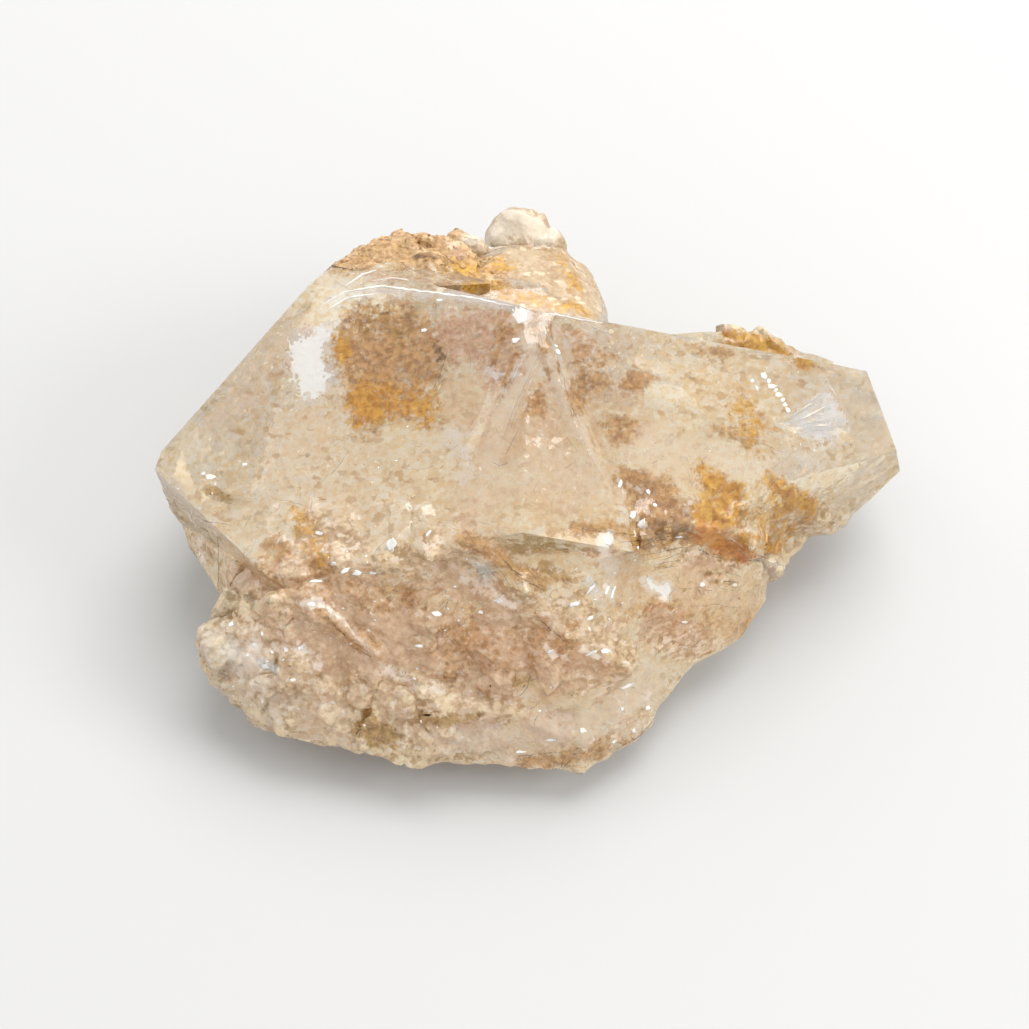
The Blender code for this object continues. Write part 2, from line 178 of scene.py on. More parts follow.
# bars and shards whose edges are worn soft, from end to end, with reach and share
softBars = [
    ((1, 6.6, 18.9), (-3.2, -3.6, 14.4), 1.7, 1), ((1.5, 6.7, 18.6), (5, -2.3, 15.1), 1.5, 1),
    ((-3.4, -4.4, 14.2), (2.6, -7.8, 11.6), 1.9, 1), ((2.2, -8.4, 10.4), (7.8, -10.4, 7), 2.2, 1),
    ((-12.8, -6.2, 10.2), (-7, -10, 8), 1.7, 0.9), ((-11.8, -4.8, 11.5), (-6, -5.7, 12.4), 1.8, 0.9),
    ((5, -5.5, 11.5), (11.5, -8, 8), 2.4, 0.9), ((6.5, -2.4, 13), (14.8, -1.6, 9), 1.6, 0.5),
    ((-6, 16, 14.5), (-5, 16, 14.5), 1.6, 1),
]


# narrow ends of the bars, smoothed away
flatSpurs = [
    ((0.5, -9.6, 13.1), (0.4, -7.4, 11.9), 2.5, 1), ((4.1, -10.6, 11), (4, -8.8, 9.9), 2.3, 1),
]


# distance of each point from a straight line between two places
def gapTo(spots, start, end):
    along = end - start
    part = np.clip(((spots - start) @ along) / max(along @ along, 1e-12), 0, 1)
    return np.linalg.norm(spots - start - part[:, None] * along, axis=1)


# 1 along the bars and 0 away from them
def barShare(spots, bars):
    share = np.zeros(len(spots))
    for start, end, reach, strength in bars:
        gap = gapTo(spots, np.array(at(*start)), np.array(at(*end))) / (reach * mm)
        share = np.maximum(share, strength * np.clip(2.5 * (1 - gap), 0, 1))
    return share


lumpZones = [
    ((1.6, 16.4, 8.5), 5.4, 1), ((0.3, 19, 10.6), 3.4, 1), ((-3, 17.3, 11.6), 2.2, 1),
]
crustZones = [
    ((-6.2, 15.8, 13.9), 4, 1), ((-9.6, 14.6, 15), 2.6, 1), ((-2.6, 14.8, 14.2), 2.6, 0.9),
]


# 0 outside the zones and up to each zone's strength at its middle
def zoneShare(spots, zones, gain=1.25):
    share = np.zeros(len(spots))
    for middle, reach, strength in zones:
        gap = np.linalg.norm(spots - np.array(at(*middle)), axis=1) / (reach * mm)
        share = np.maximum(share, strength * np.clip(gain * (1 - gap * gap), 0, 1))
    return share


# raises and lowers the surface with one of Blender's textures
def displace(piece, group, kind, size, depth, middle):
    texture = bpy.data.textures.new(kind, "VORONOI" if kind == "ANGULAR" else "CLOUDS")
    texture.noise_scale = size
    if kind == "ANGULAR":
        texture.distance_metric = "MANHATTAN"
    else:
        texture.noise_type = kind
        texture.noise_depth = 2
    modify(piece, "DISPLACE", texture=texture, texture_coords="LOCAL", strength=depth, mid_level=middle,
           vertex_group=group)


def fineCrystal():
    piece = cadCrystal.copy()
    piece.data = cadCrystal.data.copy()
    piece.name = piece.data.name = "crystalBody"
    for key in list(piece.keys()):
        del piece[key]
    piece.parent = None
    bpy.context.collection.objects.link(piece)
    piece.matrix_world.identity()
    pickOnly(piece)
    switchTo("EDIT")
    selectAll()
    bpy.ops.mesh.remove_doubles(threshold=1e-6)
    selectAll()
    bpy.ops.mesh.dissolve_limited(angle_limit=math.radians(0.4))
    low, high = (Vector(corner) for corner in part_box("goshenite_crystal"))
    for axis in range(3):
        normal = Vector()
        normal[axis] = 1
        for step in range(1, int((high[axis] - low[axis]) / crystal["cell"]) + 1):
            spot = low[axis] + (step - 0.43) * crystal["cell"]
            selectAll()
            bpy.ops.mesh.bisect(plane_co=normal * spot, plane_no=normal, threshold=1e-7)
    selectAll()
    bpy.ops.mesh.remove_doubles(threshold=0.04 * mm)
    selectAll()
    bpy.ops.mesh.quads_convert_to_tris(quad_method="BEAUTY", ngon_method="BEAUTY")
    bpy.ops.mesh.select_mode(type="EDGE")
    for _ in range(crystal["rounds"]):
        selectAll("DESELECT")
        switchTo("OBJECT")
        spots = points(piece)
        first, second = readAll(piece.data.edges, "vertices", 2, np.int32).T
        long = np.linalg.norm(spots[first] - spots[second], axis=1) > crystal["edge"]
        piece.data.edges.foreach_set("select", long)
        switchTo("EDIT")
        bpy.ops.mesh.subdivide(number_cuts=1)
        selectAll()
        bpy.ops.mesh.quads_convert_to_tris(quad_method="BEAUTY", ngon_method="BEAUTY")
    switchTo("OBJECT")
    print("crystal faces:", len(piece.data.polygons))

    spots = points(piece)
    share = zoneShare(spots, brokenZones)
    above = np.clip((spots[:, 2] - crystal["base"]) / (1.2 * mm), 0, 1)
    bars, spurs = barShare(spots, softBars), barShare(spots, flatSpurs)
    weightsOf = {"broken": share * above, "clear": (1 - share) * above, "bars": bars, "spurs": spurs}
    for name, weights in weightsOf.items():
        group = piece.vertex_groups.new(name=name)
        for index, weight in enumerate(weights):
            if weight > 0:
                group.add([index], float(weight), "REPLACE")
    for group, rounds in crystal["soften"].items():
        modify(piece, "SMOOTH", factor=0.5, iterations=rounds, vertex_group=group)
    for row in crystal["relief"]:
        displace(piece, *row)
    bpy.ops.object.shade_smooth_by_angle(angle=crystal["sharp"])
    return piece


crystalBody = fineCrystal()
fineTree = BVHTree.FromObject(crystalBody, bpy.context.evaluated_depsgraph_get())
print("crystal shaped")


# the crystal's surface under a pixel of the photograph
def hitAt(px, py):
    hit, normal, *_ = fineTree.ray_cast(eye, sightLine(px, py))
    return hit


# stains, painted shade and painted glints, laid on the crystal as strokes through pixels of the photograph

pixel = 0.061 * mm  # a pixel of the photograph, on the crystal
stains = {  # width in pixels and strength, then the points' pixels in the photograph
    # tan tone, and painted shade: the broad strokes over the front darken it as shade, and the thin four-pixel
    # strokes are painted shade beside the V's arms
    "tan": [
        (66, 0.85, 330, 640, 450, 630, 540, 680), (30, 0.6, 390, 700, 440, 735, 470, 700),
        (24, 0.9, 505, 455, 545, 410, 560, 465), (26, 0.65, 480, 505, 560, 500, 620, 490),
        (24, 0.9, 250, 572, 330, 585, 410, 590), (40, 0.85, 640, 600, 700, 600, 745, 610),
        (20, 0.9, 532, 425, 530, 450, 560, 470, 590, 485), (30, 0.5, 560, 390, 620, 420, 700, 450),
        (20, 0.7, 450, 385, 470, 420), (4, 0.95, 546, 346, 534, 374, 519, 405, 503, 442),
        (4, 0.9, 540, 334, 508, 380, 488, 420, 478, 468), (4, 0.95, 552, 350, 562, 392, 578, 432, 592, 466),
        (4, 0.85, 560, 345, 578, 392, 596, 430, 612, 466), (12, 1.1, 530, 322, 545, 340),
    ],
    "pale": [
        (13, 1.15, 541, 322, 528, 362, 513, 385, 503, 420, 492, 460),
        (8, 1.15, 549, 330, 556, 362, 566, 398, 584, 435, 600, 470), (22, 0.6, 480, 500, 560, 470, 640, 500),
        (22, 0.7, 640, 440, 720, 465, 790, 465), (34, 0.7, 220, 650, 270, 700),
        (26, 0.95, 460, 742, 540, 735, 600, 715, 650, 690), (24, 0.8, 860, 400, 880, 440, 850, 490),
        (22, 0.7, 180, 470, 230, 400, 290, 330), (8, 0.9, 560, 315, 600, 322),
    ],
    # rust stains; the two weak broad strokes over the front are painted shade
    "rust": [
        (26, 0.35, 690, 620, 742, 628), (8, 1, 440, 286, 486, 289), (9, 0.9, 534, 322, 542, 346),
        (22, 0.8, 345, 262, 400, 256), (9, 1.25, 350, 262, 385, 244, 415, 238, 445, 250),
        (24, 0.9, 400, 262, 445, 262, 480, 285), (9, 1.25, 464, 539, 480, 545, 502, 560, 520, 572, 540, 583),
        (6, 0.7, 545, 565, 555, 577), (4, 1.3, 316, 610, 336, 626, 352, 643, 360, 650),
        (4, 1.1, 362, 632, 378, 646), (30, 0.35, 450, 640, 500, 640, 550, 645), (14, 0.35, 450, 672, 500, 668),
        (4, 1, 365, 711, 374, 718), (4, 1, 226, 562, 228, 586), (3, 1.1, 547, 370, 549, 380),
        (2.5, 1, 549, 322, 553, 340), (2.5, 1, 557, 360, 559, 373), (3, 1.1, 572, 378, 572, 403),
        (2, 1, 580, 378, 581, 400), (9, 1.2, 624, 474, 645, 478), (7, 1.2, 654, 488, 672, 490),
        (7, 1.1, 634, 502, 650, 506), (8, 1.1, 655, 512, 684, 522), (8, 1, 575, 528, 610, 528, 640, 536),
        (7, 1.3, 636, 546, 668, 540), (8, 0.9, 668, 532, 700, 540), (8, 0.9, 700, 350, 735, 355),
        (14, 0.7, 725, 430, 760, 448), (11, 0.9, 525, 762, 560, 760, 600, 748), (10, 0.6, 620, 610, 680, 606),
    ],
    "redRust": [
        (13, 1.2, 705, 533, 745, 555, 785, 572), (10, 1.4, 715, 545, 735, 552),
    ],
    "amber": [
        (9, 1.1, 338, 342, 344, 356), (10, 1.2, 714, 485, 735, 488), (13, 1.3, 704, 512, 735, 512),
        (10, 1.2, 742, 538, 778, 546), (12, 1.1, 776, 486, 806, 506), (8, 1.3, 800, 505, 812, 508),
        (9, 0.6, 782, 520, 790, 535), (18, 0.5, 745, 500, 770, 530),
        (13, 1.3, 735, 343, 760, 346, 785, 352, 806, 360), (12, 0.5, 505, 294, 540, 302, 590, 312),
        (18, 0.8, 455, 270, 500, 262), (10, 0.8, 465, 285, 500, 285), (12, 0.42, 300, 515, 320, 560),
        (18, 0.42, 740, 400, 760, 440), (14, 0.5, 560, 258, 580, 290),
    ],
    "olive": [
        (3.5, 1.3, 219, 537, 219, 567), (6, 0.7, 545, 567, 565, 577), (6, 0.8, 208, 490, 230, 500),
        (2, 0.7, 640, 556, 665, 549, 700, 551, 735, 560), (2, 0.7, 655, 568, 700, 557, 735, 566),
        (2, 0.8, 700, 573, 726, 573), (2, 0.7, 690, 582, 737, 583), (2, 0.6, 685, 590, 735, 598),
    ],
    "dark": [
        (4.5, 1.5, 419, 256, 433, 258), (5, 0.7, 437, 345, 441, 358),
    ],
    "rose": [
        (18, 0.5, 430, 250, 470, 262), (12, 0.5, 700, 555, 760, 560), (14, 0.7, 380, 275, 430, 282),
    ],
    # milky whites: milky veils, and painted glints and reflections
    "milk": [
        (8, 0.8, 330, 300, 380, 290, 470, 297, 520, 310), (24, 0.95, 498, 232, 515, 216, 540, 234),
        (8, 1.2, 452, 243, 470, 238, 486, 243), (30, 0.4, 240, 660, 290, 660),
        (12, 0.7, 190, 515, 200, 545, 208, 570), (4, 0.5, 534, 343, 522, 360, 513, 378, 500, 396),
        (4, 0.8, 553, 345, 560, 358), (4, 0.9, 622, 508, 645, 526), (3, 0.8, 618, 478, 623, 492),
        (3, 0.8, 637, 487, 645, 498), (9, 0.6, 604, 545, 612, 575), (4, 0.9, 606, 582, 612, 600),
        (7, 0.8, 486, 368, 497, 376), (14, 0.6, 455, 440, 470, 470), (5, 0.9, 302, 604, 322, 603),
        (3, 0.6, 324, 604, 345, 622, 366, 648, 380, 662), (8, 0.5, 385, 668, 415, 686, 445, 692),
        (7, 0.9, 496, 596, 514, 606), (10, 0.6, 470, 580, 500, 598), (6, 0.8, 800, 455, 808, 470),
        (7, 0.95, 262, 663, 276, 670), (14, 0.6, 245, 640, 300, 652), (3, 0.8, 583, 649, 598, 658),
        (4, 0.8, 546, 648, 556, 656),
    ],
}
stains = {name: unpacked(rows) for name, rows in stains.items()}
frostStrokes = unpacked([
    (16, 1.3, 498, 545, 560, 543, 604, 546), (9, 1.3, 440, 287, 486, 289),
    (36, 1.3, 490, 638, 560, 650, 620, 668), (26, 1.3, 655, 620, 695, 645), (18, 1.3, 480, 585, 520, 600),
])
lumpStrokes = unpacked([
    (30, 1.4, 525, 262, 560, 275, 585, 295), (12, 1.2, 508, 296, 540, 302, 590, 314),
    (8, 1.3, 452, 243, 470, 238, 486, 243),
])


# how strongly each point is stained by the strokes
def strokeShare(spots, strokes):
    share = np.zeros(len(spots))
    for path, width, strength in strokes:
        marks = [np.array(hit) for hit in (hitAt(*spot) for spot in path) if hit]
        gap = np.full(len(spots), 1.0)
        for start, end in zip(marks[:-1], marks[1:]):
            gap = np.minimum(gap, gapTo(spots, start, end))
        share = np.maximum(share, strength * np.clip(1.3 - gap / (width * pixel), 0, 1.3))
    return share


# outlines of the stained fractures and of the whitish sheets that are painted reflections and glints, in pixels
# of the photograph

fractures = {
    "spacing": 2.4,  # pixels between the points of a film
    "wall": 0.05 * mm,
    "ragged": 8.0,  # how far the outline wanders, in pixels
    "holes": 0.30,
    "buckle": 0.22,
    "grit": (1800, 2, 0.6),  # scale, detail and roughness
    "ior": 1.2,
}
films = {  # finish, depth in mm, stain above it and its strength, then the outline's pixels
    "windowStain": ("rustFilm", 0.6, "rust", 0.95, 334, 337, 351, 312, 378, 305, 404, 304, 425, 315, 440, 330,
        447, 352, 448, 366, 432, 386, 434, 421, 421, 424, 407, 417, 382, 426, 354, 435, 347, 410, 341, 376,
        331, 356),
    "orangeFoot": ("amberFilm", 0.6, "amber", 0.75, 345, 392, 380, 376, 415, 384, 435, 392, 435, 421, 421, 424,
        407, 417, 382, 426, 354, 436),
    "oliveHead": (None, 0, "olive", 0.35, 350, 312, 378, 304, 425, 314, 440, 330, 400, 342, 352, 338),
    "oliveWedge": (None, 0, "olive", 1.3, 346, 731, 360, 722, 368, 712, 376, 722, 388, 728, 408, 741, 395, 745,
        375, 743, 355, 736),
    "oliveTail": (None, 0, "olive", 1.3, 411, 722, 424, 713, 440, 718, 452, 713, 457, 718, 481, 716, 460, 723,
        440, 725, 420, 725),
    "oliveSpot": (None, 0, "olive", 1.2, 510, 679, 524, 675, 537, 679, 530, 688, 516, 688),
    "brownSpotFront": (None, 0, "rust", 1.2, 400, 598, 406, 588, 418, 592, 421, 603, 410, 608),
    "valleyStain": (None, 0, "rust", 1.15, 260, 548, 268, 541, 288, 541, 295, 557, 276, 560),
    "valleyStainRight": (None, 0, "rust", 1.1, 300, 572, 306, 561, 320, 555, 334, 565, 336, 576, 316, 580),
    # valleyShade darkens the valley through the rust layer: painted shade
    "valleyShade": (None, 0, "rust", 0.45, 250, 556, 340, 570, 420, 580, 410, 600, 340, 610, 270, 590),
    "roseStain": ("roseFilm", 0.8, "rose", 0.8, 431, 315, 462, 312, 499, 318, 518, 327, 519, 366, 496, 392,
        484, 375, 477, 361, 450, 363, 440, 346),
    "redStreak": ("rustFilm", 0.5, "rust", 1.1, 497, 322, 516, 326, 519, 342, 513, 362, 503, 382, 495, 384,
        494, 352),
    "wedgeStain": ("rustFilm", 0.7, "rust", 0.9, 569, 338, 595, 348, 619, 356, 611, 373, 589, 406, 575, 411,
        569, 396, 574, 371),
    "smallWedge": ("rustFilm", 0.6, "rust", 0.9, 624, 370, 641, 369, 660, 379, 639, 392, 617, 389),
    "brownSpot": ("rustFilm", 0.6, "rust", 0.9, 601, 425, 622, 412, 643, 424, 635, 443, 607, 443),
    "triangleStain": ("rustFilm", 0.35, "rust", 1.5, 541, 380, 537, 388, 528, 402, 523, 416, 545, 417,
        546, 405, 542, 390),
    "mottledStain": ("rustFilm", 0.5, "rust", 0.85, 612, 479, 630, 466, 667, 482, 680, 503, 704, 521, 690, 541,
        639, 549, 636, 521, 622, 495),
    "amberLeft": ("amberFilm", 0.5, "amber", 1.05, 695, 466, 712, 468, 739, 483, 744, 503, 736, 523, 716, 527,
        695, 512, 706, 489),
    "amberRight": ("amberFilm", 0.45, "amber", 0.95, 767, 477, 796, 487, 817, 505, 808, 521, 782, 518,
        784, 543, 762, 541, 770, 508),
    # the white films from here on are painted reflections and glints of the light on fractures
    "whitePatch": ("veil", 0.15, "milk", 1.1, 290, 341, 310, 332, 324, 325, 341, 320, 334, 337, 327, 356,
        335, 375, 324, 387, 316, 399, 297, 399, 294, 375, 288, 358),
    "roundGlint": (None, 0, "milk", 1.3, 511, 308, 520, 305, 529, 310, 530, 320, 522, 326, 512, 322),
    "fanFracture": ("fanFilm", 0.3, "milk", 0.95, 783, 422, 801, 407, 825, 385, 838, 398, 846, 428, 828, 441,
        807, 441),
    "squareGlint": (None, 0, "milk", 1.5, 642, 578, 653, 576, 655, 582, 662, 583, 664, 578, 671, 580, 672, 591,
        667, 601, 654, 592, 645, 589),
    "rippleGlint": ("veil", 0.12, "milk", 0.95, 584, 573, 592, 574, 601, 594, 596, 600, 588, 592),
    "upperRipple": ("veil", 0.12, "milk", 0.95, 599, 534, 612, 532, 614, 544, 606, 556, 600, 550),
    "grooveGlint": ("veil", 0.15, "milk", 0.75, 472, 562, 488, 563, 500, 578, 490, 584, 474, 576),
}
films = {name: (*row[:4], list(zip(row[4::2], row[5::2]))) for name, row in films.items()}


# how many pixels each spot lies inside an outline, below zero outside
def insideBy(spots, outline):
    x, y = np.asarray(spots, float).T
    inside = np.zeros(len(x), bool)
    gap = np.full(len(x), 1e9)
    for (ax, ay), (bx, by) in zip(outline, outline[1:] + outline[:1]):
        if ay != by:
            inside ^= ((ay > y) != (by > y)) & (x < (bx - ax) * (y - ay) / (by - ay) + ax)
        along = ((x - ax) * (bx - ax) + (y - ay) * (by - ay)) / ((bx - ax) ** 2 + (by - ay) ** 2)
        along = np.clip(along, 0, 1)
        gap = np.minimum(gap, np.hypot(x - ax - along * (bx - ax), y - ay - along * (by - ay)))
    return np.where(inside, gap, -gap)


# the pixels of the photograph that points lie at
def pixelsOf(spots):
    turn = np.array(photoCamera.matrix_world.to_3x3())
    local = (spots - np.array(eye)) @ turn
    scale = camera["lens"] / camera["sensor"] * camera["picture"]
    half = camera["picture"] / 2
    return np.stack([half - local[:, 0] / local[:, 2] * scale, half + local[:, 1] / local[:, 2] * scale], axis=1)


# how strongly each point is stained above a film
def outlineShare(spots, seen, facing, outline, strength):
    x, y = np.array(outline).T
    soft = np.clip(0.4 * math.sqrt(abs(x @ np.roll(y, 1) - y @ np.roll(x, 1)) / 2), 5, 22)  # pixels
    share = strength * np.clip(0.5 + insideBy(seen, outline) / soft, 0, 1)
    hits = [hit for hit in (hitAt(*spot) for spot in outline) if hit]
    middle = np.array(sum(hits, Vector()) / len(hits))
    near = np.linalg.norm(spots - middle, axis=1) < 7 * mm
    return share * near * facing


def addLayer(piece, name, values):
    layer = piece.data.attributes.new(name, "FLOAT", "POINT")
    layer.data.foreach_set("value", np.asarray(values, np.float32))


# even noise over the photograph's pixels
def grainAt(spot, size, seed):
    return noise.noise(Vector((spot[0] / size, spot[1] / size, seed)))


# cloudy pattern at each point, from about -1 to 1
def mottling(spots, size, octaves, start=0.0):
    shift = Vector((start, start, start))
    return np.array([noise.fractal(Vector(spot) / size + shift, 0.9, 2.1, octaves) for spot in spots])


# below zero on ridges and above it in hollows, in tenths of a millimetre
def hollows(piece, rounds):
    spots = points(piece)
    normals = readAll(piece.data.vertices, "normal")
    first, second = readAll(piece.data.edges, "vertices", 2, np.int32).T
    count = np.bincount(np.concatenate([first, second]), minlength=len(spots))
    smooth = spots.copy()
    for _ in range(rounds):
        total = np.zeros_like(smooth)
        for axis in range(3):
            total[:, axis] = (np.bincount(first, smooth[second, axis], len(spots))
                              + np.bincount(second, smooth[first, axis], len(spots)))
        smooth = total / count[:, None]
    return ((smooth - spots) * normals).sum(1) / (0.1 * mm)


spots = points(crystalBody)
facing = readAll(crystalBody.data.vertices, "normal") @ np.array(away) > 0.05
seen = pixelsOf(spots)
shares = {}
for number, (name, strokes) in enumerate(stains.items()):
    share = strokeShare(spots, strokes)
    for _, _, stain, strength, outline in films.values():
        if stain == name:
            share = np.maximum(share, outlineShare(spots, seen, facing, outline, strength))
    ragged = 0.5 * mottling(spots, 0.9 * mm, 4, 5.0 * number) + 0.38 * mottling(spots, 2.6 * mm, 2, 3.0 + number)
    shares[name] = np.where(share > 0.02, np.maximum(share + ragged, 0), 0)
    addLayer(crystalBody, name, shares[name])
addLayer(crystalBody, "brokenShare", zoneShare(spots, brokenZones))
addLayer(crystalBody, "tone", mottling(spots, 3.2 * mm, 3) * 0.6 + mottling(spots, 0.8 * mm, 4, 7.0) * 0.7)
# how deep each point lies in a hollow; hollows are darkened later, as painted shade and as iron stain gathered
# in cracks
addLayer(crystalBody, "hollowShadeAndStain", hollows(crystalBody, 3))
addLayer(crystalBody, "hue", mottling(spots, 5.0 * mm, 3, 33.0))
print("stains painted")


# materials

# adds nodes to one material
class Wiring:
    def __init__(self, name):
        self.material = bpy.data.materials.new(name)
        self.material.use_nodes = True
        self.nodes = self.material.node_tree.nodes
        self.links = self.material.node_tree.links
        self.shader = self.nodes["Principled BSDF"]
        self.place = self.add("TexCoord").outputs["Object"]

    def add(self, kind):
        return self.nodes.new("ShaderNode" + kind)

    def feed(self, socket, value):
        if isinstance(value, bpy.types.NodeSocket):
            self.links.new(value, socket)
        elif value is not None:
            socket.default_value = (*value, 1) if socket.type == "RGBA" else value

    def set(self, name, value):
        self.feed(self.shader.inputs[name], value)

    def noise(self, scale, detail, rough=0.55):
        node = self.add("TexNoise")
        for name, value in (("Scale", scale), ("Detail", detail), ("Roughness", rough), ("Vector", self.place)):
            self.feed(node.inputs[name], value)
        return node.outputs

    def split(self, color):
        node = self.add("SeparateColor")
        self.feed(node.inputs[0], color)
        return node.outputs

    # three random values for each ragged flake
    def flakes(self, scale, ragged, warp):
        turned = self.add("Mapping")
        turned.inputs["Scale"].default_value = beryl["flakeStretch"]
        turned.inputs["Rotation"].default_value = beryl["flakeTurn"]
        self.feed(turned.inputs["Vector"], self.place)
        shift = self.add("VectorMath")
        shift.operation = "MULTIPLY_ADD"
        self.feed(shift.inputs[0], warp)
        shift.inputs[1].default_value = [ragged] * 3
        self.feed(shift.inputs[2], turned.outputs["Vector"])
        node = self.add("TexVoronoi")
        node.inputs["Scale"].default_value = scale
        self.feed(node.inputs["Vector"], shift.outputs[0])
        return self.split(node.outputs["Color"])

    def math(self, kind, a, b=None, c=None):
        node = self.add("Math")
        node.operation = kind
        for socket, value in zip(node.inputs, (a, b, c)):
            self.feed(socket, value)
        return node.outputs[0]

    def line(self, value, slope, start):
        return self.math("MULTIPLY_ADD", value, slope, start)

    def span(self, value, low, high, start=0.0, end=1.0):
        node = self.add("MapRange")
        for socket, number in zip(node.inputs, (value, low, high, start, end)):
            self.feed(socket, number)
        return node.outputs[0]

    def layer(self, name):
        node = self.add("Attribute")
        node.attribute_name = name
        return node.outputs["Fac"]

    def mix(self, share, a, b, kind="MIX"):
        node = self.add("Mix")
        node.data_type = "RGBA"
        node.blend_type = kind
        self.feed(node.inputs[0], share)
        self.feed(node.inputs[6], a)
        self.feed(node.inputs[7], b)
        return node.outputs[2]

    def bump(self, height, strength, depth):
        node = self.add("Bump")
        self.feed(node.inputs["Strength"], strength)
        node.inputs["Distance"].default_value = depth
        self.feed(node.inputs["Height"], height)
        return node.outputs["Normal"]


finishes = {  # rough and grit: where it is whole, and where it is broken
    "clearBeryl": {
        "light": (1, 0.96, 0.82), "deep": (0.88, 0.69, 0.42), "white": (1, 0.98, 0.94), "paint": 1,
        "paintedSparkle": (1, 0.97, 0.89), "transmission": 0.80, "rough": (0.12, 0.32), "grit": (0.09, 0.4),
    },
    "paleLump": {
        "light": (0.47, 0.35, 0.22), "deep": (0.34, 0.22, 0.11), "white": (0.66, 0.58, 0.46), "paint": 0.54,
        "paintedSparkle": (0.70, 0.56, 0.38), "transmission": 0.30, "rough": (0.35, 0.45), "grit": (0.3, 0.5),
    },
    # white faces: milky patches and painted glints
    "whiteVeil": {
        "light": (0.45, 0.42, 0.37), "deep": (0.40, 0.36, 0.30), "white": (0.52, 0.505, 0.475), "paint": 0.45,
        "paintedSparkle": (0.54, 0.53, 0.50), "transmission": 0.12, "rough": (0.25, 0.40), "grit": (0.06, 0.4),
    },
    "ironCrust": {
        "light": (0.46, 0.28, 0.13), "deep": (0.17, 0.08, 0.025), "white": (0.50, 0.40, 0.27), "paint": 0.50,
        "paintedSparkle": (0.52, 0.38, 0.20), "transmission": 0.12, "rough": (0.45, 0.6), "grit": (0.5, 0.7),
    },
    "brokenBeryl": {
        "light": (0.83, 0.71, 0.48), "deep": (0.40, 0.28, 0.125), "white": (0.98, 0.93, 0.82), "paint": 0.73,
        "paintedSparkle": (0.92, 0.86, 0.74), "transmission": 0.60, "rough": (0.18, 0.40), "grit": (0.15, 0.55),
    },
    # the underside, whitened so the crystal seems lit from within: a painted glow
    "milkyBase": {
        "light": (1, 0.96, 0.85), "deep": (0.93, 0.81, 0.62), "white": (1, 0.98, 0.94), "paint": 1,
        "paintedSparkle": (1, 0.98, 0.92), "transmission": 0.20, "rough": (0.30, 0.50), "grit": (0.2, 0.5),
    },
}
beryl = {
    "straw": (0.98, 0.86, 0.56),
    "blush": (1, 0.82, 0.64),
    "speck": (0.52, 0.31, 0.12),
    "ior": 1.575,
    "absorption": (0.98, 0.82, 0.48),
    "density": 24,
    "fine": (2800, 3, 0.72),  # scale, detail and roughness of the finest mottling
    "flakes": (3300, 0.0004),  # scale and raggedness
    "flakeStretch": (0.6, 1.1, 1.1),
    "flakeTurn": (0, 0, 0.5),
    "grit": (2400, 1, 0.65),
    "gritDepth": 0.2 * mm,
}
stainColors = {  # darker and lighter colour, strength
    # tan tone, also used as painted shade
    "tan": ((0.70, 0.47, 0.27), (0.95, 0.75, 0.53), 0.8),
    "pale": ((1, 0.84, 0.66), (1, 0.94, 0.82), 0.65),
    "rose": ((0.54, 0.27, 0.13), (0.90, 0.63, 0.44), 0.8),
    # rust stains, also used as painted shade
    "rust": ((0.38, 0.18, 0.04), (0.86, 0.54, 0.23), 0.9),
    "amber": ((0.56, 0.24, 0.01), (1, 0.58, 0.07), 0.95),
    "redRust": ((0.56, 0.18, 0.02), (1, 0.52, 0.11), 0.95),
    "olive": ((0.28, 0.15, 0.02), (0.66, 0.44, 0.15), 0.92),
    "dark": ((0.08, 0.04, 0.01), (0.26, 0.14, 0.05), 0.92),
}


# a colour darkened to suit the finish
def painted(color, finish):
    return [part * finish["paint"] for part in color]


